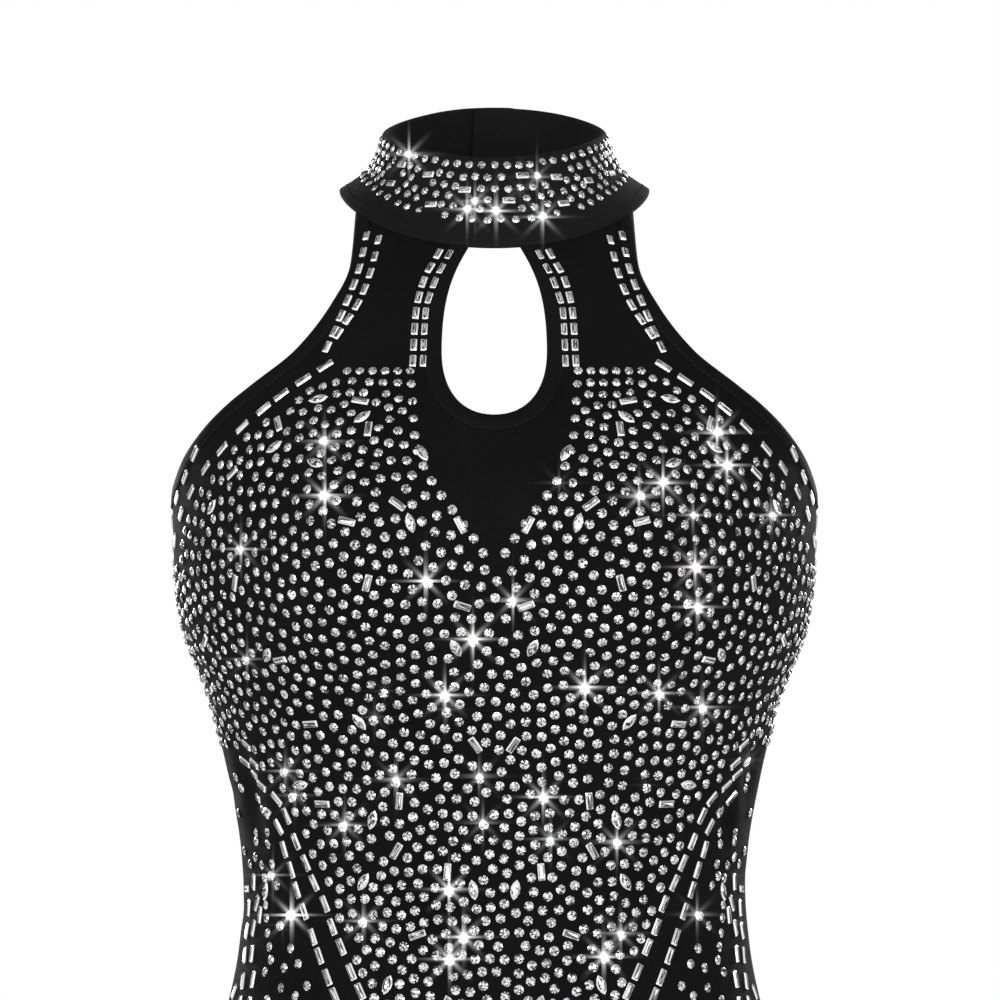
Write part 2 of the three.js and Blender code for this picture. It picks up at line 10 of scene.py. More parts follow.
import bpy
import numpy as np
from mathutils import Vector
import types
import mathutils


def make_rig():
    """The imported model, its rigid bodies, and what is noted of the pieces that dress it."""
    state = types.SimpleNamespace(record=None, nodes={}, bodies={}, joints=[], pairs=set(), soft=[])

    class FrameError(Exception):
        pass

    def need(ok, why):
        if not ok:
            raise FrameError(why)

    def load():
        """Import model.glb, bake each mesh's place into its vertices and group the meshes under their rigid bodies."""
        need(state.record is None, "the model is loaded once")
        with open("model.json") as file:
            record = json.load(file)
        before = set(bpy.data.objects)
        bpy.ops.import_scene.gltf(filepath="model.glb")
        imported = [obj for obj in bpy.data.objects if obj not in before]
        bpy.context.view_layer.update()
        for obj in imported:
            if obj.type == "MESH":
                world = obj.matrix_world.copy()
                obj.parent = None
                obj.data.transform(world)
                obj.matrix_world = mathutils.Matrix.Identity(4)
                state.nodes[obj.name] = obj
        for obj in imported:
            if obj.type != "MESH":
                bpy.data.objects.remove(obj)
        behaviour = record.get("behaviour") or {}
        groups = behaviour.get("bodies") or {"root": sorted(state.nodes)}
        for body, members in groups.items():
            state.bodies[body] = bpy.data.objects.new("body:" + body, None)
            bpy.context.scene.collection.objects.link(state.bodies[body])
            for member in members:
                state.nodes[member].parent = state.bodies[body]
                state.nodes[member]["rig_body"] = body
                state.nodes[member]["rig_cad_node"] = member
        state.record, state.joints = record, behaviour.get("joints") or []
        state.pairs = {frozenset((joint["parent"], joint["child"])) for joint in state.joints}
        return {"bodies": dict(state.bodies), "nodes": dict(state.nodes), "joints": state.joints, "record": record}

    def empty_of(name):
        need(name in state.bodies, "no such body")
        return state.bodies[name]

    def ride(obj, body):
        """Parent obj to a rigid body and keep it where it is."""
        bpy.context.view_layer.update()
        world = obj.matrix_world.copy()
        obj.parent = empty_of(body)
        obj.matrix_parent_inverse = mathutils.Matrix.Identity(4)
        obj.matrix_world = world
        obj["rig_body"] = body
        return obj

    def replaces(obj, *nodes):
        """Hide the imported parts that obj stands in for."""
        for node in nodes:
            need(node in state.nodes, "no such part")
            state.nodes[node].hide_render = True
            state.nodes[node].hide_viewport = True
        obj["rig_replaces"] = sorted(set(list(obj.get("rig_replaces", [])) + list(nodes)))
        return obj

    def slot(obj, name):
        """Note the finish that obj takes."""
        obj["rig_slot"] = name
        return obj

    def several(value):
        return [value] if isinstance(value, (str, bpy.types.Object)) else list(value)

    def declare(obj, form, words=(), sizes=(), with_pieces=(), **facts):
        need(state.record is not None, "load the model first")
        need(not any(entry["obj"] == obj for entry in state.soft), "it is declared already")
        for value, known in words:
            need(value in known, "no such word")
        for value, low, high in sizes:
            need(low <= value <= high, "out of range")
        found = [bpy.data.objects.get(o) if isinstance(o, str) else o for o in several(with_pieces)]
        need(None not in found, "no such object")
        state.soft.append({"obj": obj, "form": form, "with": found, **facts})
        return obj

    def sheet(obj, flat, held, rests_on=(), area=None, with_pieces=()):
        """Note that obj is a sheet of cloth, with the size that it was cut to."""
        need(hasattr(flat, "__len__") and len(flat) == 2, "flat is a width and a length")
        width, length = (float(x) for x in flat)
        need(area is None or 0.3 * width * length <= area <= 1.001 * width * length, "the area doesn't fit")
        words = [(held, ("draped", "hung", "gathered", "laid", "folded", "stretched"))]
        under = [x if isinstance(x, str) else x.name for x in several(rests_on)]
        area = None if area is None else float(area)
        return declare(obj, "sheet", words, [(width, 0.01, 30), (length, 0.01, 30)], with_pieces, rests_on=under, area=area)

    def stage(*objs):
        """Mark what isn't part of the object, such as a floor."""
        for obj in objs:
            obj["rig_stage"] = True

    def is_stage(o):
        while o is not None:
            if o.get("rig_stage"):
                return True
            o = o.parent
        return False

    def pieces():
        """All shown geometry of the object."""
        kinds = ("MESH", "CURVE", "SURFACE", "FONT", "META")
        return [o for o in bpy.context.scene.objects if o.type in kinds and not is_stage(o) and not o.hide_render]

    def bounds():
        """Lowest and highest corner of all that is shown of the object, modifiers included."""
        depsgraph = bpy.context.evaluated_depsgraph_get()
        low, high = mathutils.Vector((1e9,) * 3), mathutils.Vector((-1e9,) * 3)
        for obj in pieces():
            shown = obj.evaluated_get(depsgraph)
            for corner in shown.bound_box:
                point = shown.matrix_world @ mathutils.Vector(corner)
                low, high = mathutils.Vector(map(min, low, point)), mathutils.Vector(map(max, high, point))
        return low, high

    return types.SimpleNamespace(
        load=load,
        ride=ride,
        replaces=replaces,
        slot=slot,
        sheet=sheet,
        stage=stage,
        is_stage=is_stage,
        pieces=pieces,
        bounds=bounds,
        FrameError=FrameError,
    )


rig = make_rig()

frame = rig.load()
CAD_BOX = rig.bounds()

MM = 0.001
BODY_NAME = "root"
MIRROR = np.array([-1.0, 1, 1])

# ---------------------------------------------------------------- sizes of the garment

CLOTH = 1.4
COLLAR_CLOTH = 2.4
COLLAR_SEAM = -14.4
UNDERARM = -156.5
HIP_SEAM = -420.0
CROTCH = -612.0
ANKLE = -1310.0
BARE_BACK_DIP = 58.0
DIP_POWER = 1.25

BODY_COLUMNS = "height outer front back power drop centre"
BODY_ROWS = [
    (-13.6, 70.9, 71.2, 70.0, 2.0, -29.4, 0),
    (-33.5, 100.0, 80.0, 76.0, 2.1, -24.0, 0),
    (-54.3, 124.0, 87.0, 80.0, 2.2, -20.0, 0),
    (-78.4, 140.0, 95.0, 83.0, 2.25, -16.0, 0),
    (-97.8, 147.0, 102.0, 85.0, 2.3, -13.0, 0),
    (-122.8, 150.0, 111.0, 87.0, 2.3, -8.5, 0),
    (-156.5, 150.0, 118.5, 89.0, 2.3, -3.0, 0),
    (-185.0, 149.4, 119.5, 92.0, 2.3, -1.0, 0),
    (-215.0, 146.0, 116.0, 92.0, 2.3, 0, 0),
    (-250.0, 133.5, 106.0, 88.0, 2.3, 0, 0),
    (-290.0, 123.5, 97.0, 80.0, 2.3, 0, 0),
    (-323.0, 118.0, 93.0, 74.0, 2.3, 0, 0),
    (-341.0, 117.0, 92.0, 72.0, 2.3, 0, 0),
    (-366.0, 119.0, 93.0, 73.5, 2.3, 0, 0),
    (-392.0, 124.0, 95.5, 77.0, 2.3, 0, 0),
    (-420.0, 133.0, 99.0, 85.0, 2.3, 0, 0),
    (-450.0, 147.0, 102.0, 97.0, 2.28, 0, 2.2),
    (-480.0, 157.0, 104.0, 108.0, 2.25, 0, 8.9),
    (-500.0, 163.5, 104.5, 114.0, 2.22, 0, 18.8),
    (-520.0, 168.0, 104.5, 118.5, 2.2, 0, 30.3),
    (-540.0, 170.8, 104.2, 121.0, 2.15, 0, 43.3),
    (-560.0, 172.0, 103.5, 122.0, 2.1, 0, 56.6),
    (-575.0, 172.3, 102.6, 121.0, 2.05, 0, 65.9),
    (-590.0, 172.2, 101.5, 118.0, 2.0, 0, 74.4),
    (-600.0, 172.0, 100.7, 115.2, 1.96, 0, 80.0),
    (-612.0, 171.5, 99.5, 111.2, 1.92, 0, 85.75),
    (-625.0, 170.5, 98.1, 107.0, 1.9, 0, 89.5),
    (-640.0, 169.1, 96.4, 103.0, 1.9, 0, 91.5),
    (-660.0, 167.0, 94.0, 98.8, 1.92, 0, 92.2),
    (-700.0, 163.8, 89.5, 92.8, 1.96, 0, 91.8),
    (-740.0, 160.0, 85.0, 88.0, 2.0, 0, 90.8),
    (-800.0, 155.0, 78.0, 80.0, 2.0, 0, 91.2),
    (-860.0, 151.0, 70.0, 70.0, 2.0, 0, 92.6),
    (-921.0, 148.0, 62.0, 59.0, 2.0, 0, 94.0),
    (-980.0, 148.0, 56.0, 62.0, 2.0, 0, 94.8),
    (-1050.0, 150.0, 52.0, 66.0, 2.0, 0, 96.0),
    (-1120.0, 150.0, 48.0, 62.0, 2.0, 0, 97.5),
    (-1190.0, 149.0, 46.0, 54.0, 2.0, 0, 98.5),
    (-1250.0, 149.0, 46.0, 50.0, 2.0, 0, 99.5),
    (-1310.0, 149.5, 47.0, 49.0, 2.0, 0, 100.5),
]
ARMHOLE_ROWS = [
    (-13.6, 63.5),
    (-33.5, 65.2),
    (-54.3, 74.0),
    (-78.4, 89.8),
    (-97.8, 109.8),
    (-109.6, 121.7),
    (-122.8, 132.7),
    (-137.1, 142.0),
    (-148.7, 147.1),
    (-156.5, 150.0),
]
COLLAR_ROWS = [
    (0, -13.6, 71.5, 72.0, 62.0, -29.4, 6.2),
    (0.18, -9.5, 65.0, 68.5, 58.6, -27.0, 7.4),
    (0.4, -4.5, 58.5, 64.5, 55.2, -23.8, 9.2),
    (0.65, 1.5, 55.0, 60.5, 52.6, -20.0, 11.5),
    (0.85, 7.5, 53.0, 57.0, 51.0, -17.0, 13.3),
    (1, 12.0, 51.8, 54.0, 50.0, -14.9, 14.5),
]
BUST = dict(proud=24, apart=74, height=-180, across=38, up=38, down=42)

# Soft troughs, with columns share, top, bottom, depth, spread and slant. share is how far round from the
# centre (0) to the side seam (1), signed by the wearer's side. slant is how much share a trough's foot leans
# towards the wearer's left for each SLANT_HEIGHT below its middle.
SLANT_HEIGHT = 200
FRONT_FOLDS = [
    (-0.73, -262, -322, 4.0, 0.045, 0),
    (0.68, -283, -318, 3.5, 0.04, 0),
    (0.80, -262, -306, 3.5, 0.04, 0),
]
BACK_FOLDS = [
    (-0.62, -285, -345, 3.5, 0.05, 0),
    (0.70, -270, -318, 4.0, 0.045, 0),
]

# Finer creases of the worn cloth: at the waist, round the crotch, behind the knees and above the ankles.
FRONT_CREASES = [
    (0.90, -250, -262, 1.1, 0.07, 0),
    (-0.88, -288, -302, 1.2, 0.08, 0),
    (0.86, -326, -340, 1.0, 0.07, 0),
    (-0.92, -345, -357, 0.9, 0.06, 0),
    (0.22, -556, -628, 1.4, 0.035, 0.55),
    (-0.24, -566, -642, 1.3, 0.035, 0.6),
    (0.36, -586, -648, 1.1, 0.035, 0.7),
    (-0.38, -590, -646, 1.2, 0.04, 0.7),
    (0.50, -918, -932, 1.0, 0.16, 0),
    (-0.46, -921, -934, 1.1, 0.15, 0),
    (0.52, -1206, -1219, 1.2, 0.17, 0),
    (-0.50, -1211, -1223, 1.1, 0.18, 0),
    (0.46, -1238, -1250, 1.4, 0.2, 0),
    (-0.54, -1241, -1254, 1.4, 0.18, 0),
    (0.55, -1268, -1279, 1.1, 0.15, 0),
    (-0.48, -1270, -1282, 1.2, 0.17, 0),
]
BACK_CREASES = [
    (0.30, -292, -310, 1.6, 0.14, 0),
    (-0.28, -300, -316, 1.5, 0.13, 0),
    (0.55, -318, -334, 1.4, 0.12, 0),
    (-0.40, -330, -346, 1.3, 0.12, 0),
    (0.30, -590, -650, 1.5, 0.06, 0.5),
    (-0.32, -596, -656, 1.4, 0.06, 0.5),
    (0.42, -866, -879, 1.5, 0.18, 0),
    (-0.46, -869, -883, 1.5, 0.2, 0),
    (0.52, -888, -901, 1.8, 0.2, 0),
    (-0.50, -893, -906, 1.7, 0.18, 0),
    (0.46, -912, -924, 1.3, 0.16, 0),
    (-0.52, -916, -929, 1.4, 0.17, 0),
    (0.50, -1196, -1210, 1.2, 0.2, 0),
    (-0.46, -1200, -1214, 1.3, 0.18, 0),
    (0.52, -1226, -1239, 1.5, 0.2, 0),
    (-0.52, -1230, -1243, 1.4, 0.2, 0),
    (0.47, -1257, -1269, 1.3, 0.18, 0),
    (-0.50, -1260, -1272, 1.2, 0.2, 0),
]
FOLDS = {-1: FRONT_FOLDS + FRONT_CREASES, 1: BACK_FOLDS + BACK_CREASES}

KEYHOLE_SHOULDER = [(12.3, -43.3), (20, -56), (24.3, -68), (24.3, -91)]
KEYHOLE_FOOT = [(24.3, -91), (24.3, -110), (15, -120.9), (0, -120.9)]
LAP = dict(half_angle=0.17, ramp=0.6, lift=2.7)

# ---------------------------------------------------------------- curves and surfaces


def smooth_curve(at, values):
    """The smooth curve through a table's column, which keeps between neighbouring values."""
    at, values = np.asarray(at, float), np.asarray(values, float)
    if at[-1] < at[0]:
        at, values = at[::-1], values[::-1]
    spans = np.diff(at)
    secants = np.diff(values) / spans
    before, after = secants[:-1], secants[1:]
    safe = np.where(before + after == 0, 1, before + after)
    inner = np.where(before * after > 0, 2 * before * after / safe, 0)
    slopes = np.concatenate([secants[:1], inner, secants[-1:]])

    def curve(x):
        x = np.asarray(x, float)
        i = np.clip(np.searchsorted(at, x) - 1, 0, len(spans) - 1)
        u = np.clip((x - at[i]) / spans[i], 0, 1)
        mix = u * u * (3 - 2 * u)
        bend = u * (1 - u) * spans[i] * ((1 - u) * slopes[i] - u * slopes[i + 1])
        inside = values[i] + (values[i + 1] - values[i]) * mix + bend
        below = slopes[0] * np.minimum(x - at[0], 0)
        above = slopes[-1] * np.maximum(x - at[-1], 0)
        return inside + below + above

    return curve


def sections(columns, rows):
    """Smooth curves of a table with named columns: the result gives each column at a height."""
    names = columns.split()[1:]
    table = np.array(rows, float)
    curves = {name: smooth_curve(table[:, 0], table[:, i + 1]) for i, name in enumerate(names)}
    return lambda height: {name: curve(height) for name, curve in curves.items()}


body_section = sections(BODY_COLUMNS, BODY_ROWS)
armhole_section = sections("height width", ARMHOLE_ROWS)
collar_section = sections("ring height width front back drop rise", COLLAR_ROWS)


def bell(distance, spread):
    return np.exp(-((distance / spread) ** 2) / 2)


def eased(u):
    u = np.clip(u, 0, 1)
    return u * u * (3 - 2 * u)


def joined(parts):
    """Joins the first arrays of some parts, their second ones and so on."""
    return [np.concatenate(arrays) for arrays in zip(*parts)]


def signed_power(value, power):
    return np.sign(value) * np.abs(value) ** power


def spaced(start, end, count, crowding=1.0):
    """count + 1 values from start to end, closer together towards the end when crowding is over 1."""
    return end + (start - end) * (1 - np.arange(count + 1) / count) ** crowding


def unit(vectors):
    return vectors / np.maximum(np.linalg.norm(vectors, axis=-1, keepdims=True), 1e-12)


def bust_depth(x, z):
    spread = np.where(z > BUST["height"], BUST["up"], BUST["down"])
    across = bell(np.abs(x) - BUST["apart"], BUST["across"])
    return BUST["proud"] * across * bell(z - BUST["height"], spread)


def fold_depth(folds, share, z):
    depth = np.zeros(np.broadcast(share, z).shape)
    for middle_share, top, bottom, deep, spread, slant in folds:
        middle = (top + bottom) / 2
        lean = slant * (middle - z) / SLANT_HEIGHT
        along = bell(z - middle, (top - bottom) / 4)
        depth = depth + deep * bell(share - middle_share - lean, spread) * along
    return depth


def body_point(inward, height, face, side):
    """A point of one quarter of the body. inward runs from 0 at the side seam to 1 at the centre edge, face
    is -1 on the front and 1 on the back, side is 1 on the wearer's left and -1 on the right."""
    inward, height = np.broadcast_arrays(np.asarray(inward, float), np.asarray(height, float))
    row = body_section(height)
    reach = row["outer"] - row["centre"]
    parted = np.clip(row["centre"] / reach, 0, 1)
    angle = inward * (np.pi - np.arccos(parted ** (row["power"] / 2)))
    dip = np.abs(np.sin(inward * np.pi / 2)) ** (2 * DIP_POWER / row["power"])
    z = height + row["drop"] * dip
    x = row["centre"] + reach * signed_power(np.cos(angle), 2 / row["power"])
    depth = row["front"] + bust_depth(x, z) if face < 0 else row["back"]
    y = depth * signed_power(np.sin(angle), 2 / row["power"])
    fold = fold_depth(FOLDS[face], side * (1 - inward), z)
    across, out = x - fold * np.cos(angle), y - fold * np.sin(angle)
    return np.stack([side * across, face * out, z], -1)


def quarter(face, side):
    """One quarter's surface, and the sign that turns its normal away from the wearer."""
    return (lambda inward, height: body_point(inward, height, face, side)), face * side


def collar_point(turn, ring):
    """A point of the collar. turn is 0 and a whole round at the nape, ring 0 at the seam and 1 at the top."""
    turn, ring = np.broadcast_arrays(np.asarray(turn, float), np.asarray(ring, float))
    row = collar_section(ring)
    towards_back = np.cos(turn)
    depth = np.where(towards_back > 0, row["back"], row["front"])
    tilt = np.where(towards_back > 0, row["rise"], row["drop"])
    z = row["height"] + tilt * np.abs(towards_back) ** DIP_POWER
    return np.stack([row["width"] * np.sin(turn), depth * towards_back, z], -1)


def lap_lift(turn):
    whole = 2 * np.pi - LAP["half_angle"]
    return LAP["lift"] * eased((turn - whole + LAP["ramp"]) / LAP["ramp"])


def surface_frame(surface, sign, a, b, step_a=1e-4, step_b=1e-2):
    """The surface's two tangents and the normal that points away from the wearer."""
    along_a = (surface(a + step_a, b) - surface(a - step_a, b)) / (2 * step_a)
    along_b = (surface(a, b + step_b) - surface(a, b - step_b)) / (2 * step_b)
    return along_a, along_b, unit(np.cross(along_a, along_b)) * sign


def armhole_inward(height):
    """How far inward the armhole edge lies at a height: 0 from the underarm down."""
    row = body_section(height)
    share = np.minimum(armhole_section(height)["width"] / row["outer"], 1)
    inward = (2 / np.pi) * np.arccos(share ** (row["power"] / 2))
    return np.where(np.asarray(height) > UNDERARM, inward, 0)


def bezier(points, count):
    t = np.linspace(0, 1, count + 1)[:, None]
    a, b, c, d = (np.array(p, float) for p in points)
    return (1 - t) ** 3 * a + 3 * (1 - t) ** 2 * t * b + 3 * (1 - t) * t**2 * c + t**3 * d


PLACE_STEPS = 30


def front_place(x, z):
    """The place (inward, height) of the front that lies at x and z, for arrays."""
    x, z = np.abs(np.asarray(x, float)), np.asarray(z, float)
    height = z.copy()
    for _ in range(PLACE_STEPS):
        row = body_section(height)
        reach = row["outer"] - row["centre"]
        parted = np.clip(row["centre"] / reach, 0, 1)
        turned = np.pi - np.arccos(parted ** (row["power"] / 2))
        level = np.clip((x - row["centre"]) / reach, -1, 1)
        inward = np.arccos(signed_power(level, row["power"] / 2)) / turned
        height = height + z - body_point(inward, height, -1, 1)[..., 2]
    return inward, height


def raised(surface, sign, a, b, lift, **steps):
    """Points of a surface raised by a lift, and the normals there."""
    normals = surface_frame(surface, sign, a, b, **steps)[2]
    return surface(a, b) + normals * np.asarray(lift)[..., None], normals


def on_collar(turn, ring, lift):
    return raised(collar_point, -1, turn, ring, lift, step_b=1e-4)


def path_lengths(points):
    """How far along a path each of its points lies."""
    return np.concatenate([[0], np.cumsum(np.linalg.norm(np.diff(points, axis=0), axis=1))])


def row_lengths(grid):
    """How far along its row each point of a grid lies."""
    steps = np.linalg.norm(np.diff(grid, axis=1), axis=-1)
    return np.concatenate([np.zeros((len(grid), 1)), np.cumsum(steps, axis=1)], 1)


# ---------------------------------------------------------------- mesh making


def new_object(name, points, faces, material, smooth=True, uv=None, painted_face_light=None):
    """An object of points in millimetres. uv is given for each point, and each face's painted light where the faces
    have it.
    """
    mesh = bpy.data.meshes.new(name)
    mesh.from_pydata((np.asarray(points) * MM).tolist(), [], [list(map(int, f)) for f in faces])
    if uv is not None:
        layer = mesh.uv_layers.new(name="cut")
        corner = np.zeros(len(mesh.loops), np.int32)
        mesh.loops.foreach_get("vertex_index", corner)
        layer.data.foreach_set("uv", (np.asarray(uv)[corner] * MM).astype(np.float32).ravel())
    if painted_face_light is not None:
        # each face's painted light: a brightness that stands in for the reflections it would show
        attribute = mesh.attributes.new("facet", "FLOAT", "FACE")
        attribute.data.foreach_set("value", np.asarray(painted_face_light, np.float32))
    mesh.polygons.foreach_set("use_smooth", [smooth] * len(mesh.polygons))
    mesh.materials.append(material)
    mesh.update()
    piece = bpy.data.objects.new(name, mesh)
    bpy.context.scene.collection.objects.link(piece)
    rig.ride(piece, BODY_NAME)
    return piece


def cells(index):
    """Quads between the neighbours of a grid of point numbers."""
    return np.stack([index[:-1, :-1], index[1:, :-1], index[1:, 1:], index[:-1, 1:]], -1).reshape(-1, 4)


def grid_quads(rows, columns, first=0):
    return cells(first + np.arange(rows * columns).reshape(rows, columns))


def tube_quads(index):
    """Quads round a tube, from the point numbers of its rings."""
    return cells(np.concatenate([index, index[:, :1]], 1)).tolist()


def weld(points, quads, *extras):
    """Merges points that lie together, and keeps the first one's extras."""
    _, first, inverse = np.unique(np.round(points, 3) + 0.0, axis=0, return_index=True, return_inverse=True)
    return points[first], inverse.reshape(-1)[quads], [extra[first] for extra in extras]


RIM_STEPS = 3


def cloth_layers(points, normals, quads, inner_lift, outer_lift, bulge):
    """A closed wall from one layer of points: its outer and inner layers, and a rounded rim round every edge.
    Returns the points, the faces and the base point of each."""
    a, b, c, d = (points[quads[:, i]] for i in range(4))
    turned = (np.cross(c - a, d - b) * normals[quads[:, 0]]).sum(1)
    quads = np.where(turned[:, None] < 0, quads[:, ::-1], quads)
    outer = points + normals * outer_lift[:, None]
    inner = points + normals * inner_lift[:, None]
    edges = np.concatenate([quads[:, [i, (i + 1) % 4]] for i in range(4)])
    known = set(map(tuple, edges.tolist()))
    border = np.array([e for e in edges.tolist() if (e[1], e[0]) not in known])
    on_rim = np.unique(border)
    slot = -np.ones(len(points), int)
    slot[on_rim] = np.arange(len(on_rim))
    away = np.zeros((len(on_rim), 3))
    for end in (0, 1):
        direction = unit(np.cross(unit(points[border[:, 1]] - points[border[:, 0]]), normals[border[:, end]]))
        np.add.at(away, slot[border[:, end]], direction)
    away = unit(away)
    middle = (outer + inner)[on_rim] / 2
    half = (outer - inner)[on_rim] / 2
    rings, count = [], len(points)
    for step in range(1, RIM_STEPS + 1):
        angle = np.pi * step / (RIM_STEPS + 1)
        rings.append(middle + half * math.cos(angle) + away * bulge * math.sin(angle))
    steps = [border]
    steps += [2 * count + step * len(on_rim) + slot[border] for step in range(RIM_STEPS)]
    steps.append(border + count)
    rim = [np.stack([p[:, 1], p[:, 0], q[:, 0], q[:, 1]], -1) for p, q in zip(steps, steps[1:])]
    faces = np.concatenate([quads, quads[:, ::-1] + count, *rim])
    base = np.concatenate([np.arange(count), np.arange(count)] + [on_rim] * RIM_STEPS)
    return np.concatenate([outer, inner, *rings]), faces, base


GROOVE = dict(depth=0.5, spread=1.6)
SEAM_BULGE = 0.3


def body_panel(name, face, sides, inwards, heights, material, grooves):
    """A panel of one or two quarters. inwards and heights are grids of places, the same for each side.
    grooves gives how far the cloth is lifted, or drawn in at the seams, from the heights and the points
    there."""
    points, normals, uvs, lifts, quads = [], [], [], [], []
    for side in sides:
        surface, sign = quarter(face, side)
        place, normal = raised(surface, sign, inwards, heights, 0.0)
        # the cut's width is measured along each row from the centre line
        arcs = np.abs(place[:, -1:, 0]) + row_lengths(place[:, ::-1])[:, ::-1]
        quads.append(grid_quads(*inwards.shape, first=sum(len(p) for p in points)))
        points.append(place.reshape(-1, 3))
        normals.append(normal.reshape(-1, 3))
        uvs.append(np.stack([side * arcs, place[..., 2]], -1).reshape(-1, 2))
        lifts.append(grooves(heights, place).reshape(-1))
    points, normals, uvs, lifts = (np.concatenate(x) for x in (points, normals, uvs, lifts))
    points, quads, (normals, uvs, lifts) = weld(points, np.concatenate(quads), normals, uvs, lifts)
    all_points, faces, base = cloth_layers(points, normals, quads, lifts - CLOTH, lifts, SEAM_BULGE)
    return new_object(name, all_points, faces, material, uv=uvs[base])


def groove(distance):
    return -GROOVE["depth"] * bell(distance, GROOVE["spread"])


# ---------------------------------------------------------------- the front, back and legs

# How many cells each panel has, how much they crowd towards an edge, and the points of the keyhole's outline.
FRONT_CELLS = dict(across=58, keyhole=48, chest=30, torso=72, outline=200,
                   keyhole_crowding=2, chest_crowding=1.6)
BACK_CELLS = dict(across=48, down=72)
LEG_CELLS = dict(around=40, hip=54, leg=190, hip_crowding=1.4, leg_crowding=1.15)


def keyhole_edge(count):
    """One side of the keyhole's edge from the collar to its bottom, as places of the front."""
    outline = np.concatenate([bezier(KEYHOLE_SHOULDER, count), bezier(KEYHOLE_FOOT, count)[1:]])
    return front_place(outline[:, 0], outline[:, 1])


def front_panel(material):
    cells = FRONT_CELLS
    edge_inward, edge_height = keyhole_edge(cells["outline"])
    foot = edge_height[-1]
    heights = np.concatenate([
        spaced(COLLAR_SEAM, foot, cells["keyhole"], cells["keyhole_crowding"]),
        spaced(foot, UNDERARM, cells["chest"], cells["chest_crowding"])[1:],
        spaced(UNDERARM, HIP_SEAM, cells["torso"])[1:],
    ])
    centre = np.where(heights > foot, np.interp(-heights, -edge_height, edge_inward), 1)
    armhole = armhole_inward(heights)
    share = np.linspace(0, 1, cells["across"] + 1)
    inwards = armhole[:, None] + (centre - armhole)[:, None] * share
    height_grid = np.broadcast_to(heights[:, None], inwards.shape)

    def grooves(height, place):
        at_side = groove(row_lengths(place)) * (height <= UNDERARM)
        return at_side + groove(height - HIP_SEAM) + groove(height - COLLAR_SEAM)

    return body_panel("jumpsuit_front", -1, (1, -1), inwards, height_grid, material, grooves)


def bare_back_edge(inward):
    return UNDERARM - BARE_BACK_DIP * eased(inward)


def back_panel(material):
    share = np.linspace(0, 1, BACK_CELLS["across"] + 1)
    down = np.linspace(0, 1, BACK_CELLS["down"] + 1)[:, None]
    top = bare_back_edge(share)
    heights = top + (HIP_SEAM - top) * down
    inwards = np.broadcast_to(share, heights.shape)

    def grooves(height, place):
        return groove(row_lengths(place)) + groove(height - HIP_SEAM)

    return body_panel("jumpsuit_back", 1, (1, -1), inwards, heights, material, grooves)


# The leg panels' nodes, each with its face and side.
LEG_PANELS = {
    "leg_front_left": (-1, 1),
    "leg_back_left": (1, 1),
    "leg_front_right": (-1, -1),
    "leg_back_right": (1, -1),
}
HEM = dict(height=14.0, proud=0.35, ease=1.0)
CLOSED_SEAM = dict(above=12.0, spread=32.0)


def leg_panel(name, face, side, material):
    cells = LEG_CELLS
    heights = np.concatenate([
        spaced(HIP_SEAM, CROTCH, cells["hip"], cells["hip_crowding"]),
        spaced(ANKLE, CROTCH, cells["leg"], cells["leg_crowding"])[::-1][1:],
    ])
    inwards = np.broadcast_to(np.linspace(0, 1, cells["around"] + 1), (len(heights), cells["around"] + 1))
    height_grid = np.broadcast_to(heights[:, None], inwards.shape)

    def grooves(height, place):
        from_side = row_lengths(place)
        to_centre = from_side[:, -1:] - from_side
        # just above the crotch the legs' walls turn towards each other, and a groove there would part them
        parted = 1 - bell(height - CROTCH - CLOSED_SEAM["above"], CLOSED_SEAM["spread"]) * (height > CROTCH)
        hem = HEM["proud"] * eased((ANKLE + HEM["height"] - height) / HEM["ease"])
        return groove(from_side) + groove(to_centre) * parted + groove(height - HIP_SEAM) + hem

    return body_panel(name, face, (side,), inwards, height_grid, material, grooves)


# ---------------------------------------------------------------- the collar

COLLAR_CELLS = dict(around=240, up=24)
COLLAR_BULGE = 1.3
COLLAR_PROUD = 0.6
# the slanting collar's own length for each millimetre of its height
COLLAR_SLOPE = 1.4


def collar_band(material):
    turns = spaced(-LAP["half_angle"], 2 * np.pi + LAP["half_angle"], COLLAR_CELLS["around"])
    turn, ring = np.meshgrid(turns, np.linspace(0, 1, COLLAR_CELLS["up"] + 1))
    points, normals = on_collar(turn, ring, 0.0)
    lift = (lap_lift(turn) + COLLAR_PROUD).reshape(-1)
    all_points, faces, base = cloth_layers(points.reshape(-1, 3), normals.reshape(-1, 3),
                                           grid_quads(*turn.shape), lift - COLLAR_CLOTH, lift, COLLAR_BULGE)
    up = ring * (COLLAR_ROWS[-1][1] - COLLAR_ROWS[0][1]) * COLLAR_SLOPE
    uv = np.stack([row_lengths(points), up], -1).reshape(-1, 2)
    return new_object("jumpsuit_collar", all_points, faces, material, uv=uv[base])


# ---------------------------------------------------------------- the bindings

# A binding's section: how far in from the panel's edge, and how far off the panel's outer surface.
BINDING_SECTION = [
    (7, 0.2), (6.7, 0.55), (4, 0.7), (1.5, 0.65), (0.2, 0.45), (-0.55, -0.1), (-0.6, -1.0), (0, -1.7),
    (4, -2.0), (7, -1.7), (7, -1.5), (0.3, -1.5), (-0.1, -0.7), (0.3, 0.1), (7, 0.1),
]
BINDING_TOP = -14.0
WALK_STEPS = 4


def stepped_by(surface, sign, a, b, move):
    """Places moved over the surface by vectors."""
    along_a, along_b, _ = surface_frame(surface, sign, a, b)
    aa, ab, bb = ((p * q).sum(-1) for p, q in ((along_a, along_a), (along_a, along_b), (along_b, along_b)))
    ra, rb = (along_a * move).sum(-1), (along_b * move).sum(-1)
    scale = 1 / (aa * bb - ab * ab)
    return a + (ra * bb - rb * ab) * scale, b + (rb * aa - ra * ab) * scale


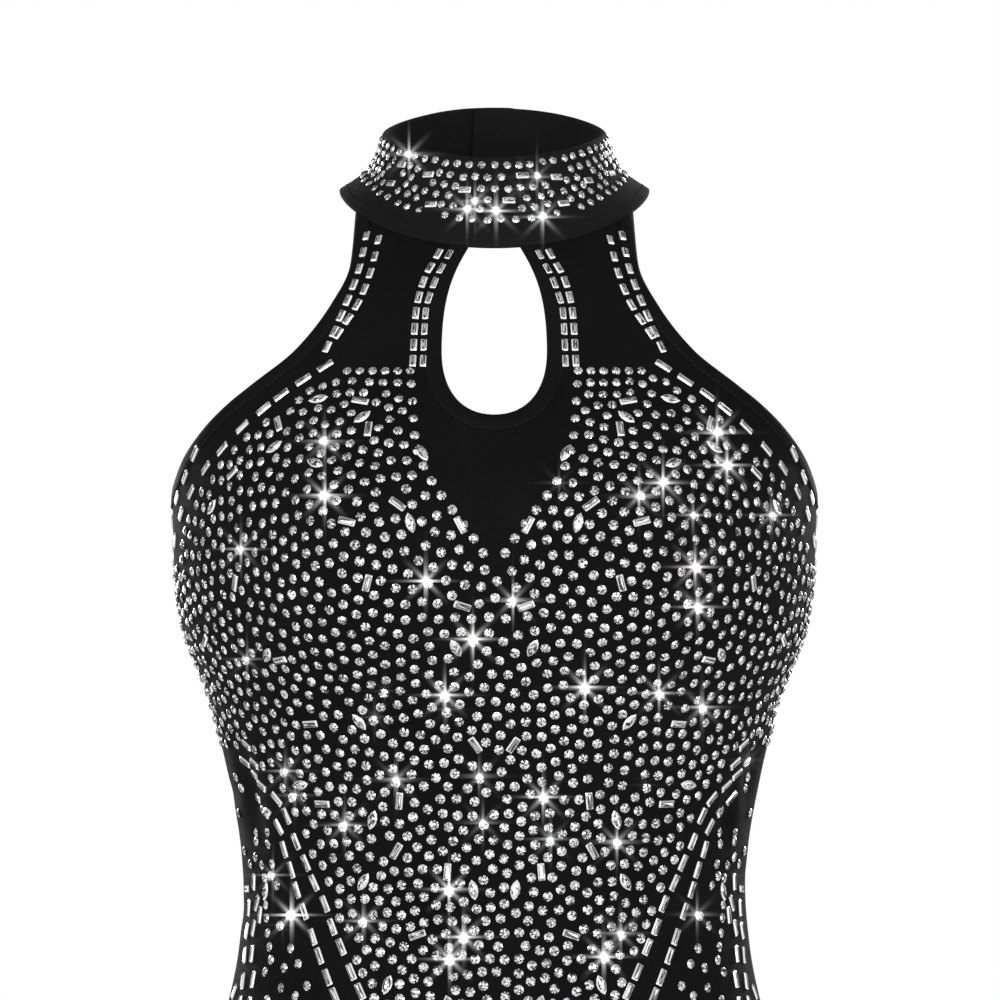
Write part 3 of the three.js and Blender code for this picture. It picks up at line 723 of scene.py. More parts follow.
def walked(surface, sign, inward, height, distance, towards):
    """A path of places walked across the surface by a distance, square to its own direction."""
    along = np.gradient(surface(inward, height), axis=0)
    for _ in range(WALK_STEPS):
        normal = surface_frame(surface, sign, inward, height)[2]
        stride = unit(np.cross(normal, along)) * towards * distance / WALK_STEPS
        inward, height = stepped_by(surface, sign, inward, height, stride)
    return inward, height


def evenly(surface, inward, height, count):
    """A path's places set evenly along it."""
    passed = path_lengths(surface(inward, height))
    targets = np.linspace(0, passed[-1], count + 1)
    return np.interp(targets, passed, inward), np.interp(targets, passed, height)


def armhole_edge(count):
    """The armhole's edge from the collar to the underarm, as places of the front."""
    heights = spaced(BINDING_TOP, UNDERARM, count, 2)
    return armhole_inward(heights + 1e-9), heights


def open_back_edge(count):
    """The open back's edge from the side seam to the centre, as places of the back."""
    inward = np.linspace(0, 1, count + 1)
    return inward, bare_back_edge(inward)


# The bound edges: the face each is on, its places down to the centre or the underarm, how many steps it is
# cut into, and the tangent (0 is across, 1 is up) that tells on which side the panel lies.
EDGES = {
    "keyhole": dict(face=-1, places=keyhole_edge(60), steps=70, tangent=0, turned=-1),
    "armhole": dict(face=-1, places=armhole_edge(200), steps=90, tangent=0, turned=1),
    "open_back": dict(face=1, places=open_back_edge(80), steps=64, tangent=1, turned=-1),
}


def edge_path(name, side, top):
    """One side of an edge below a height: its surface and sign, its places, and the way to the panel."""
    edge = EDGES[name]
    surface, sign = quarter(edge["face"], side)
    inward, height = edge["places"]
    below = height <= top
    inward, height = evenly(surface, inward[below], height[below], edge["steps"])
    middle = len(inward) // 2
    along = np.gradient(surface(inward, height), axis=0)[middle]
    axes = [axis[middle] for axis in surface_frame(surface, sign, inward, height)]
    towards = edge["turned"] * np.sign((np.cross(axes[2], along) * axes[edge["tangent"]]).sum())
    return surface, sign, inward, height, towards


def binding_strip(surface, sign, inward, height, towards):
    """The rings of a binding's section along an edge, as a grid of points."""
    edge, normal = raised(surface, sign, inward, height, 0.0)
    into_panel = unit(np.cross(normal, unit(np.gradient(edge, axis=0)))) * towards
    columns = []
    for offset, lift in BINDING_SECTION:
        if offset > 0:
            places = walked(surface, sign, inward, height, offset, towards)
            columns.append(raised(surface, sign, *places, lift)[0])
        else:
            columns.append(edge + into_panel * offset + normal * lift)
    return np.stack(columns, 1)


def edge_binding(name, edge, sides, material):
    """One closed band along an edge: on one side, or from the left side through the centre to the right."""
    strips = [binding_strip(*edge_path(edge, side, BINDING_TOP)) for side in sides]
    rings = np.concatenate(strips[:1] + [strip[::-1][1:] for strip in strips[1:]])
    index = np.arange(rings[..., 0].size).reshape(rings.shape[:2])
    faces = tube_quads(index) + [index[0].tolist(), index[-1][::-1].tolist()]
    length = np.cumsum(np.linalg.norm(np.diff(rings[:, 0], axis=0, prepend=rings[:1, 0]), axis=1))
    girth = np.cumsum(np.linalg.norm(np.diff(rings[0], axis=0, prepend=rings[0][:1]), axis=1))
    uv = np.stack(np.broadcast_arrays(length[:, None], girth[None, :]), -1).reshape(-1, 2)
    return face_out(new_object(name, rings.reshape(-1, 3), faces, material, uv=uv))


def face_out(piece):
    """Turns a closed mesh's faces outwards."""
    mesh = piece.data
    points = np.zeros(len(mesh.vertices) * 3)
    mesh.vertices.foreach_get("co", points)
    points = points.reshape(-1, 3)
    mesh.calc_loop_triangles()
    corners = np.zeros(len(mesh.loop_triangles) * 3, np.int32)
    mesh.loop_triangles.foreach_get("vertices", corners)
    a, b, c = (points[corners.reshape(-1, 3)[:, i]] for i in range(3))
    if (a * np.cross(b, c)).sum() < 0:
        mesh.flip_normals()
    return piece


# ---------------------------------------------------------------- the nape buttons

# flat is the share of the radius inside which the holes lie
BUTTON = dict(radius=4.5, height=2.4, seat=0.45, around=72, flat=0.5)
# the button's four holes: how wide and deep, how far from its middle, and how soft their edges
BUTTON_HOLE = dict(radius=0.55, spread=1.15, deep=1.5, soft=0.2)
BUTTON_RINGS = (0.28, 0.72)
# the button's section from its middle to its rim and down: radius share, height share
BUTTON_SECTION = [
    (0.0, 0.75), (0.08, 0.75), (0.16, 0.75), (0.22, 0.75), (0.28, 0.75), (0.33, 0.75), (0.38, 0.75),
    (0.44, 0.76), (0.5, 0.78), (0.58, 0.84), (0.66, 0.93), (0.74, 0.99), (0.82, 1.0), (0.9, 0.95),
    (0.96, 0.84), (1.0, 0.66), (1.0, 0.4), (0.97, 0.2), (0.88, 0.05), (0.8, 0.0),
]


def nape_axes(i):
    """A button's seat on the collar's lap, and its directions along the collar, up and out."""
    spot, normal = on_collar(np.array(2 * np.pi), np.array(BUTTON_RINGS[i]), LAP["lift"] + COLLAR_PROUD)
    side = unit(np.cross([0, 0, 1.0], normal))
    return spot, side, np.cross(normal, side), normal


def nape_button(name, i, material):
    spot, side, up, normal = nape_axes(i)
    sides = BUTTON["around"]
    angle = np.arange(sides) * 2 * np.pi / sides
    rings = []
    for share, rise in BUTTON_SECTION[1:]:
        radius = share * BUTTON["radius"]
        x, y = radius * np.cos(angle), radius * np.sin(angle)
        level = np.full(sides, rise * BUTTON["height"])
        if share < BUTTON["flat"]:
            for hole_x, hole_y in ((-1, -1), (-1, 1), (1, -1), (1, 1)):
                apart = np.hypot(x - hole_x * BUTTON_HOLE["spread"], y - hole_y * BUTTON_HOLE["spread"])
                inside = (BUTTON_HOLE["radius"] - apart) / BUTTON_HOLE["soft"]
                level -= BUTTON_HOLE["deep"] * eased(inside + 0.5)
        rings.append(np.stack([x, y, level], -1))
    local = np.concatenate([[[0, 0, BUTTON_SECTION[0][1] * BUTTON["height"]]], *rings])
    rise = local[:, 2:] + BUTTON["seat"] - COLLAR_PROUD
    points = spot + local[:, :1] * side + local[:, 1:2] * up + rise * normal
    index = 1 + np.arange(len(rings) * sides).reshape(len(rings), sides)
    faces = tube_quads(index) + fan(0, index[0].tolist()) + [index[-1][::-1].tolist()]
    return face_out(new_object(name, points, faces, material))


# ---------------------------------------------------------------- materials


def material_nodes(name):
    material = bpy.data.materials.new(name)
    material.use_nodes = True
    tree = material.node_tree
    return material, tree, tree.nodes["Principled BSDF"]


def fed(tree, node, inputs):
    """Sets or links a node's inputs, by name or number."""
    for key, value in inputs.items():
        if isinstance(value, bpy.types.NodeSocket):
            tree.links.new(value, node.inputs[key])
        else:
            node.inputs[key].default_value = value
    return node


def new_node(tree, kind, inputs, **settings):
    node = tree.nodes.new("ShaderNode" + kind)
    for key, value in settings.items():
        setattr(node, key, value)
    return fed(tree, node, inputs)


def math_node(tree, operation, *inputs):
    return new_node(tree, "Math", dict(enumerate(inputs)), operation=operation).outputs[0]


def plus(tree, a, b):
    return math_node(tree, "ADD", a, b)


def times(tree, a, b):
    return math_node(tree, "MULTIPLY", a, b)


def noise(tree, scale, detail=3.0):
    place = tree.nodes.new("ShaderNodeTexCoord").outputs["Object"]
    return new_node(tree, "TexNoise", {"Scale": scale, "Detail": detail, "Vector": place}).outputs["Fac"]


def mixed_colour(tree, amount, low, high):
    inputs = {"A": (*low, 1), "B": (*high, 1), "Factor": amount}
    return new_node(tree, "Mix", inputs, data_type="RGBA").outputs["Result"]


def bump(tree, height, distance):
    return new_node(tree, "Bump", {"Distance": distance, "Strength": 1.0, "Height": height}).outputs["Normal"]


# The knit: how far noise bends the ribs, how high ribs, courses and fuzz are, and what shades the colour.
KNIT_BEND = dict(scale=60.0, detail=2.0, share=0.25)
KNIT_HEIGHT = dict(rib=0.5, course=0.1, fuzz=0.5)
KNIT_FUZZ = dict(scale=900.0, detail=4.0)
KNIT_SHADE = dict(woven=0.3, scale=22.0, whole=0.75)
KNIT_ROUGH = dict(scale=300.0, share=0.2)


def knit(name, dark, light, rib_pitch, rib_depth, course_pitch, roughness=0.85, sheen=0.02):
    """Black knit: ribs along the cut's length, fainter courses across them, and an uneven surface."""
    material, tree, shader = material_nodes(name)
    uv = tree.nodes.new("ShaderNodeUVMap")
    uv.uv_map = "cut"
    split = new_node(tree, "SeparateXYZ", {0: uv.outputs["UV"]})

    def wave(axis, pitch, shift):
        turn = times(tree, split.outputs[axis], 2 * math.pi / (pitch * MM))
        return math_node(tree, "SINE", plus(tree, turn, shift))

    bend = times(tree, noise(tree, KNIT_BEND["scale"], KNIT_BEND["detail"]), KNIT_BEND["share"])
    rib = wave("X", rib_pitch, bend)
    course = wave("Y", course_pitch, rib)
    woven = plus(tree, times(tree, rib, KNIT_HEIGHT["rib"]), times(tree, course, KNIT_HEIGHT["course"]))
    level = plus(tree, woven, times(tree, noise(tree, **KNIT_FUZZ), KNIT_HEIGHT["fuzz"]))
    shade = plus(tree, times(tree, level, KNIT_SHADE["woven"]), noise(tree, KNIT_SHADE["scale"]))
    rough = times(tree, noise(tree, KNIT_ROUGH["scale"]), KNIT_ROUGH["share"])
    fed(tree, shader, {
        "Base Color": mixed_colour(tree, times(tree, shade, KNIT_SHADE["whole"]), dark, light),
        "Roughness": plus(tree, rough, roughness - KNIT_ROUGH["share"] / 2),
        "Specular IOR Level": 0.06,
        "Sheen Weight": sheen,
        "Sheen Roughness": 0.4,
        "Normal": bump(tree, level, rib_depth * MM),
    })
    return material


def gloss_plastic():
    material, tree, shader = material_nodes("gloss_button")
    marks = noise(tree, scale=800.0)
    fed(tree, shader, {
        "Base Color": mixed_colour(tree, marks, (0.006, 0.006, 0.007), (0.016, 0.016, 0.017)),
        "Roughness": plus(tree, times(tree, marks, 0.15), 0.16),
        "Normal": bump(tree, noise(tree, scale=1500.0), 0.03 * MM),
    })
    return material


def thread_cloth():
    material, tree, shader = material_nodes("black_thread")
    twist = noise(tree, scale=2500.0, detail=2.0)
    fed(tree, shader, {
        "Base Color": mixed_colour(tree, twist, (0.006, 0.006, 0.0065), (0.016, 0.0155, 0.0165)),
        "Roughness": 0.7,
        "Specular IOR Level": 0.15,
        "Normal": bump(tree, twist, 0.1 * MM),
    })
    return material


FOIL_SHARE = 0.6


def crystal():
    """Clear faceted glass on silver foil: partly a mirror, with a base colour of painted light in which each facet is
    painted bright or dark in place of its reflections.
    """
    material, tree, shader = material_nodes("foil_crystal")
    facet = tree.nodes.new("ShaderNodeAttribute")
    facet.attribute_name = "facet"
    # random patches that dim the painted facet light
    painted_light_dimming = times(tree, noise(tree, scale=1200.0, detail=2.0), 0.12)
    amount = math_node(tree, "SUBTRACT", facet.outputs["Fac"], painted_light_dimming)
    fed(tree, shader, {
        "Base Color": mixed_colour(tree, amount, (0.01, 0.01, 0.012), (1.0, 1.0, 1.0)),
        "Metallic": FOIL_SHARE,
        "Roughness": plus(tree, times(tree, noise(tree, scale=2000.0), 0.1), 0.08),
    })
    return material


# ---------------------------------------------------------------- light, floor and camera

# The photograph's view: a level camera straight in front, 2.6 m off, with 0.467 mm to a pixel at y = 0.
VIEW = dict(x=2.57, height=-158.8, distance=2600.0, pixel=0.467, middle=500.0)
LENS = 200.4


def set_camera():
    data = bpy.data.cameras.new("camera")
    data.lens = LENS
    data.sensor_width = 36
    camera = bpy.data.objects.new("camera", data)
    camera.location = (VIEW["x"] * MM, -VIEW["distance"] * MM, VIEW["height"] * MM)
    camera.rotation_euler = (math.pi / 2, 0, 0)
    bpy.context.scene.collection.objects.link(camera)
    bpy.context.scene.camera = camera


# name, place, what it is aimed at, width and height, power
LIGHTS = [
    ("key", (-1.2, -2.2, 0.5), (0, 0, -0.3), (0.9, 1.2), 14),
    ("fill", (1.3, -2.2, 0.2), (0, 0, -0.3), (0.8, 1.2), 11),
    ("front_low", (0.0, -2.4, -0.9), (0, 0, -0.4), (1.2, 0.5), 5.5),
    ("back_left", (1.3, 2.2, 0.5), (0, 0, -0.5), (0.9, 1.4), 60),
    ("back_right", (-1.3, 2.2, 0.2), (0, 0, -0.5), (0.9, 1.4), 48),
]


def area_light(name, place, target, size, power):
    data = bpy.data.lights.new(name, "AREA")
    data.energy = power
    data.shape = "RECTANGLE"
    data.size, data.size_y = size
    light = bpy.data.objects.new(name, data)
    light.location = place
    light.rotation_euler = (Vector(target) - Vector(place)).to_track_quat("-Z", "Y").to_euler()
    bpy.context.scene.collection.objects.link(light)
    return light


# How bright the surroundings are, by how far a direction faces the garment's front and how far it points up.
FRONT_GLOW = dict(start=-0.45, end=0.6, low=0.3, high=1.2)
TOP_SHADE = dict(start=0.3, end=0.9, low=1.0, high=0.4)


def ramp(tree, value, start, end, low, high):
    """A smooth change from low to high while a value goes from start to end."""
    inputs = {"From Min": start, "From Max": end, "To Min": low, "To Max": high, "Value": value}
    return new_node(tree, "MapRange", inputs, interpolation_type="SMOOTHSTEP").outputs["Result"]


def set_world():
    """White behind the garment; its reflections see a bright front and darker parts elsewhere."""
    world = bpy.data.worlds.new("studio")
    bpy.context.scene.world = world
    world.use_nodes = True
    tree = world.node_tree
    tree.nodes.clear()
    direction = tree.nodes.new("ShaderNodeTexCoord").outputs["Generated"]
    split = new_node(tree, "SeparateXYZ", {0: direction})
    ahead = ramp(tree, times(tree, split.outputs["Y"], -1.0), **FRONT_GLOW)
    above = ramp(tree, split.outputs["Z"], **TOP_SHADE)
    lit, seen = (new_node(tree, "Background", {"Color": (1, 1, 1, 1), "Strength": strength}).outputs[0]
                 for strength in (times(tree, ahead, above), 1.0))
    is_seen = tree.nodes.new("ShaderNodeLightPath").outputs["Is Camera Ray"]
    mix = new_node(tree, "MixShader", {0: is_seen, 1: lit, 2: seen})
    new_node(tree, "OutputWorld", {0: mix.outputs[0]})


FLOOR_GAP = 81.0
FLOOR_HALF = 1.8


def set_floor():
    """A pale floor below the ankles, where a wearer's feet would stand."""
    material, tree, shader = material_nodes("pale_floor")
    colour = mixed_colour(tree, noise(tree, scale=3.0), (0.78, 0.78, 0.79), (0.84, 0.84, 0.85))
    fed(tree, shader, {"Base Color": colour, "Roughness": 0.7})
    mesh = bpy.data.meshes.new("floor")
    z = (ANKLE - FLOOR_GAP) * MM
    corners = [(x * FLOOR_HALF, y * FLOOR_HALF, z) for x, y in ((-1, -1), (1, -1), (1, 1), (-1, 1))]
    mesh.from_pydata(corners, [], [(0, 1, 2, 3)])
    mesh.materials.append(material)
    floor = bpy.data.objects.new("floor", mesh)
    bpy.context.scene.collection.objects.link(floor)
    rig.stage(floor)


# ---------------------------------------------------------------- rhinestones

# Sizes of the stones. Each is a closed, faceted cap whose foot lies in the cloth. clear is how far a round
# stone's middle stays from points along a longer one.
ROUND = dict(radius=2.2, table=1.1, height=1.0, sides=8)
LARGE_BAGUETTE = dict(length=7.9, width=3.2, height=0.95, clear=4.7)
SMALL_BAGUETTE = dict(length=5.9, width=3.0, height=0.9, clear=4.5)
MARQUISE = dict(length=9.4, width=4.5, height=1.1, clear=5.3)
GIRDLE = 0.3
FOOT = -0.4
# how much higher the middle of a table is than its edge
ROUND_DOME = 1.06
STEPPED_DOME = 1.02
# a baguette's cut corners, how far its rings lie inside its outline, and how high its line is, whose facets are
# painted dark
BAGUETTE_CUT = 0.35
BAGUETTE_INSETS = (0, 0, 0.6, 0.78, 0.92)
BAGUETTE_LINE = 0.88
# the sizes of a marquise's rings, how high its frame (painted bright) and its line (painted dark) are, and the points
# of each arc
MARQUISE_RINGS = (1, 1, 0.76, 0.7, 0.45)
MARQUISE_FRAME = 0.8
MARQUISE_LINE = 0.76
MARQUISE_POINTS = 6


def ring_points(xs, ys, z):
    return np.stack([xs, ys, np.full(len(xs), float(z))], -1)


def fan(centre, ring):
    return [(centre, ring[i], ring[(i + 1) % len(ring)]) for i in range(len(ring))]


def band(lower, upper):
    """Quads between two rings of the same count."""
    count = len(lower)
    return [(lower[i], lower[(i + 1) % count], upper[(i + 1) % count], upper[i]) for i in range(count)]


def round_stone():
    """Eight kites and sixteen triangles round an eight-sided table."""
    sides = ROUND["sides"]
    rim = 2 * sides
    angle = np.arange(rim) * np.pi / sides
    girdle = ring_points(ROUND["radius"] * np.cos(angle), ROUND["radius"] * np.sin(angle), GIRDLE)
    corners = angle[::2]
    table = ring_points(ROUND["table"] * np.cos(corners), ROUND["table"] * np.sin(corners), ROUND["height"])
    points = np.concatenate([girdle, table, [[0, 0, ROUND["height"] * ROUND_DOME], [0, 0, FOOT]]])
    crown = []
    for i in range(sides):
        here, after = 2 * i, 2 * i + 1
        crown += [(rim + i, (here - 1) % rim, here), (rim + i, here, after),
                  (rim + i, after, rim + (i + 1) % sides)]
    top = fan(rim + sides, list(range(rim, rim + sides)))
    foot = [(rim + sides + 1, (i + 1) % rim, i) for i in range(rim)]
    kinds = ["crown"] * len(crown) + ["table"] * len(top) + ["foot"] * len(foot)
    return points, crown + top + foot, kinds


def stepped_stone(rings, heights, kinds):
    """A stone of outlines above each other, from its foot up to its table, which is cut into a fan."""
    count = len(rings[0])
    points = [ring_points(ring[:, 0], ring[:, 1], height) for ring, height in zip(rings, heights)]
    index = [list(range(i * count, (i + 1) * count)) for i in range(len(rings))]
    faces = [tuple(index[0][::-1])]
    for lower, upper in zip(index, index[1:]):
        faces += band(lower, upper)
    faces += fan(len(rings) * count, index[-1])
    all_kinds = ["foot"] + [kind for kind in kinds for _ in range(count)] + ["table"] * count
    return np.concatenate(points + [[[0, 0, heights[-1] * STEPPED_DOME]]]), faces, all_kinds


def baguette_stone(sizes):
    """A frame painted bright, a line inside it painted dark, and a table: painted reflections."""
    half, side, cut = sizes["length"] / 2, sizes["width"] / 2, BAGUETTE_CUT
    outline = np.array([
        (half, -side + cut), (half, side - cut), (half - cut, side), (-half + cut, side),
        (-half, side - cut), (-half, -side + cut), (-half + cut, -side), (half - cut, -side),
    ])
    rings = [np.sign(outline) * (np.abs(outline) - inset) for inset in BAGUETTE_INSETS]
    top = sizes["height"]
    heights = (FOOT, GIRDLE, top, top * BAGUETTE_LINE, top)
    return stepped_stone(rings, heights, ("side", "frame", "line", "line"))


def marquise_stone():
    """Two arcs that meet in points, with a frame painted bright, a line painted dark and a crown."""
    half, side = MARQUISE["length"] / 2, MARQUISE["width"] / 2
    reach = (half**2 - side**2) / (2 * side)
    radius = reach + side
    turned = np.arctan2(half, reach)
    sweep = np.linspace(-turned, turned, MARQUISE_POINTS)
    upper = np.stack([radius * np.sin(-sweep), radius * np.cos(sweep) - reach], -1)
    outline = np.concatenate([upper, -upper[1:-1]])
    rings = [outline * share for share in MARQUISE_RINGS]
    top = MARQUISE["height"]
    heights = (FOOT, GIRDLE, top * MARQUISE_FRAME, top * MARQUISE_LINE, top)
    return stepped_stone(rings, heights, ("side", "frame", "line", "crown"))


# How bright each kind of facet is painted, as painted reflections, from dark to bright: their share, least and most
# light.
PAINTED_FACET_LIGHT = {
    "crown": [(0.26, 0.02, 0.14), (0.32, 0.25, 0.55), (0.42, 0.75, 1.0)],
    "table": [(0.3, 0.04, 0.2), (0.36, 0.25, 0.55), (0.34, 0.7, 1.0)],
    "frame": [(0.2, 0.65, 0.85), (0.8, 0.9, 1.0)],
    "line": [(0.7, 0.02, 0.15), (0.3, 0.3, 0.6)],
    "side": [(1.0, 0.3, 0.6)],
    "foot": [(1.0, 0.3, 0.5)],
}


# each stone's facets get painted light, drawn at random from the ranges of their kind
def painted_facet_light(kinds, count, random):
    values = np.zeros((count, len(kinds)))
    for kind, ranges in PAINTED_FACET_LIGHT.items():
        columns = [i for i, k in enumerate(kinds) if k == kind]
        if not columns:
            continue
        shares = np.cumsum([share for share, _, _ in ranges])
        chosen = np.searchsorted(shares / shares[-1], random.random((count, len(columns))))
        low, high = (np.array(ranges)[:, i][chosen] for i in (1, 2))
        values[:, columns] = low + (high - low) * random.random((count, len(columns)))
    return values.reshape(-1)


def joined_copies(shape_points, shape_faces, spots, frames):
    """The points and faces of a small shape at each spot, in its own frame (along, across, outward)."""
    placed = spots[:, None, :] + np.einsum("nij,pj->npi", frames, shape_points)
    faces = []
    for first in range(0, len(spots) * len(shape_points), len(shape_points)):
        faces += [tuple(first + corner for corner in face) for face in shape_faces]
    return placed.reshape(-1, 3), faces


def set_stones(name, stone_shape, spots, frames, random):
    """One joined mesh of stones."""
    shape_points, shape_faces, kinds = stone_shape
    points, faces = joined_copies(shape_points, shape_faces, spots, frames)
    # the stones' facets are painted bright or dark in place of their reflections
    piece = new_object(name, points, faces, stone, smooth=False,
                       painted_face_light=painted_facet_light(kinds, len(spots), random))
    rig.slot(piece, "crystal")
    return piece


def stone_frames(normals, along):
    """Frames that stand on normals with their length nearest to a direction."""
    out = unit(normals)
    length = unit(along - (along * out).sum(-1, keepdims=True) * out)
    return np.stack([length, np.cross(out, length), out], -1)


LEAST_FACING = 0.2


def picture_direction(normals, turn, side):
    """The direction on the cloth that is seen at an angle in the picture, anticlockwise from the right, for
    the stones on the picture's left; their mirror images get the mirrored angle."""
    x, z = np.cos(np.radians(turn)) * -side, np.sin(np.radians(turn))
    facing = np.minimum(normals[:, 1], -LEAST_FACING)
    y = -(x * normals[:, 0] + z * normals[:, 2]) / facing
    return np.stack([x, y, z], -1)


# Places are given in pixels of the photograph's left half, and each has its mirror image about PHOTO_CENTRE.
PHOTO_CENTRE = 497.0
# Where the search for a pixel's place on the cloth starts, and how many steps it takes.
FRONT_START = -90.0
COLLAR_START = -60.0
SIGHT_STEPS = 12
HALVINGS = 24


def pixel_size(y):
    return VIEW["pixel"] * (1 + y / VIEW["distance"])


def pictured_place(table):
    """The places (inward, height) of the front that are seen at pixels of the photograph's left half. The
    pixels are a table's first two columns."""
    across = PHOTO_CENTRE - table[:, 0]
    down = VIEW["middle"] - table[:, 1]
    y = np.full(across.shape, FRONT_START)
    for _ in range(SIGHT_STEPS):
        inward, height = front_place(across * pixel_size(y), VIEW["height"] + down * pixel_size(y))
        y = body_point(inward, height, -1, 1)[..., 1]
    return inward, height


def pictured_at(points):
    """The pixels of the photograph's left half at which points are seen."""
    size = pixel_size(points[..., 1])
    return (PHOTO_CENTRE - np.abs(points[..., 0]) / size,
            VIEW["middle"] - (points[..., 2] - VIEW["height"]) / size)


STONE_LIFT = 0.05
# how high the armhole band lifts a stone, how far from the edge it does, and over what distance that fades
BAND = dict(lift=0.65, reach=9.0, fade=1.5, points=160)


def band_lift(points):
    """How far a stone is raised by the armhole band under it."""
    edge = body_point(*armhole_edge(BAND["points"]), -1, 1)
    folded = np.where(points[:, :1] < 0, points * MIRROR, points)
    apart = np.linalg.norm(folded[:, None] - edge[None], axis=2).min(1)
    return BAND["lift"] * eased((BAND["reach"] - apart) / BAND["fade"])


def stand_on(inward, height, side):
    surface, sign = quarter(-1, side)
    return raised(surface, sign, inward, height, STONE_LIFT + band_lift(surface(inward, height)))


# how far before and after a pixel a line's angle is taken
HALF_PIXEL = 0.5


def along_line(controls, count):
    """Pixels set evenly along a smooth line through controls, and the line's angle at each."""
    controls = np.array(controls, float)
    passed = np.concatenate([[0], np.cumsum(np.hypot(*np.diff(controls, axis=0).T))])
    at = np.linspace(0, passed[-1], count)
    x, y = (smooth_curve(passed, controls[:, i]) for i in (0, 1))
    before, after = at - HALF_PIXEL, at + HALF_PIXEL
    turn = np.degrees(np.arctan2(y(before) - y(after), x(after) - x(before)))
    return list(zip(x(at), y(at), turn))


def angled(points):
    """Adds to each pixel of a line the line's angle there."""
    points = np.array(points, float)
    step = np.gradient(points, axis=0)
    return [(x, y, math.degrees(math.atan2(-dy, dx))) for (x, y), (dx, dy) in zip(points, step)]


def run_on(start, step, count):
    """Pixels of a straight line with even steps."""
    return [(start[0] + i * step[0], start[1] + i * step[1]) for i in range(count)]


# The baguettes, marquises and sparse round stones that the photograph shows one by one. The V lines' last
# pixels lie below its edge.
SMALL_BAGUETTES = (
    along_line([(452, 255), (437.5, 283), (428.5, 314), (426, 361)], 8)
    + along_line([(441, 254), (425.6, 283), (418.5, 315), (415.5, 361)], 8)
    + along_line([(369.5, 237), (363, 267.6), (352, 298), (330, 347)], 8)
    + along_line([(381, 240), (374, 270), (362, 301), (341, 333.5)], 7)
)
LARGE_BAGUETTES = (
    angled([(328, 366), (306, 380), (284, 395), (266.5, 409), (245, 427), (225, 449), (208.5, 468),
            (194, 492), (184, 514), (178, 540), (176, 566.5)])
    + angled([(198.7, 454), (188, 477), (180, 498), (173.6, 522), (171.8, 545)])
    + angled([(263.7, 786), (279.4, 799), (289.4, 816), (298.8, 841.5), (308.5, 863), (317, 883),
              (327.6, 904), (335, 927), (344, 947), (354, 972), (363, 991.5),
              *run_on((373, 1013), (10, 22), 7), (443, 1168), (453, 1191), (463, 1215), (473, 1240)])
    + angled([(255, 798), (267, 812), (281.5, 827), (287, 849.5), (294, 870), (299.5, 890), (307, 911.5),
              (315.5, 937), (322, 956), (330, 977.5), (337.5, 996), *run_on((347, 1018), (10, 23), 9),
              (438, 1227), (450, 1252), (463, 1277), (478, 1300)])
    + [(463, 525, -62), (363, 401, -10), (371, 429, 82), (281, 424, -75), (235, 473, 45), (349.5, 521.5, -14),
       (400, 504, -36), (238, 583, 82), (370, 583, 75), (465, 606, -18), (283, 660, 12), (313, 724, 5),
       (478, 745, -55), (325, 804, 0), (402, 801, 85), (399, 851, 60), (242.7, 762, -35), (256, 763.6, -40),
       (253.3, 774.5, -38), (248, 745, -40), (208, 640, 70), (214, 690, 55), (450, 872, 85), (420, 935, 20)]
    + [(257, 882, 88), (250, 889, 20), (252, 908, 86), (260, 903, 75), (263, 915, 84), (250, 931, 80),
       (256.5, 928, 80), (248, 955, 86), (255, 954, 84), (246, 981, 84), (256, 979.5, 80), (237.5, 992, 70),
       (243, 1004, 82), (252, 1005, 80), (238, 1030, 80), (248, 1032, 78), (232, 1058, 78), (243, 1060, 76)]
)
MARQUISES = [
    (425, 453, -60), (413, 523, -75), (318, 463, -20), (277, 447, 35), (321, 399, 12), (365, 417, 35),
    (214.7, 507, 60), (458.5, 648, -60), (270, 655, 70), (362, 722, -50), (303, 785, 10), (375, 820, 75),
    (366, 882, 60), (476, 890, -80), (268.8, 812.4, 10), (268.4, 891.5, 80), (390, 985, 70), (452, 1005, -70),
]
SPARSE_ROUNDS = [
    (237.5, 777), (241, 788), (241.5, 813), (256, 833), (270, 832.5), (257, 841.5), (270.6, 844),
    (247.6, 851), (257.6, 857), (253, 864), (264.5, 865), (275, 864), (267.6, 878), (273.6, 876),
    (280, 885.5), (268.8, 905), (269.4, 918), (292, 916), (270.6, 933), (272.4, 947), (293.6, 948.5),
    (283, 926), (274, 960), (268, 972), (287, 968), (301, 964), (310, 986), (284, 988), (298, 996),
    (270, 1000), (312, 1010), (290, 1016), (302, 1030), (275, 1030), (262, 1045), (318, 1042), (288, 1050),
    (330, 1062), (308, 1066), (280, 1075),
]

# The dense field's outline in the photograph's left half: its outer edge and its edge towards the centre.
FIELD_TOP = 369.0
FIELD_FOOT = 1292.0
FIELD_OUTER = [
    (369, 347), (376, 336), (383, 324), (391, 313), (405, 291), (423, 267), (442, 245), (464, 225),
    (487, 208), (500, 200), (513, 195), (526, 190), (540, 186.5), (566, 184), (600, 150), (730, 150),
    (748, 253), (766, 264), (786, 277), (799, 291), (816, 301), (841, 310), (863, 319), (883, 328),
    (904, 338), (927, 346), (947, 355), (972, 365), (991, 374), (1292, 492),
]
FIELD_INNER = [(369, 414), (440, 419), (570, 497), (1292, 497)]
SPACING = [(369, 5.8), (410, 6.2), (450, 6.7), (520, 7.2), (620, 7.3), (700, 6.8), (800, 6.45), (1000, 6.35),
           (1292, 6.4)]
FIELD_MARGIN = 0.5
SIDE_CLEARANCE = 0.03


def table_curve(table, at):
    table = np.array(table, float)
    return np.interp(at, table[:, 0], table[:, 1])


def front_point(across, height):
    """A point of the whole front: across is 0 at the wearer's left side seam, 1 at the centre, 2 at the right."""
    return body_point(1 - np.abs(across - 1), height, -1, np.where(across > 1, -1.0, 1.0))


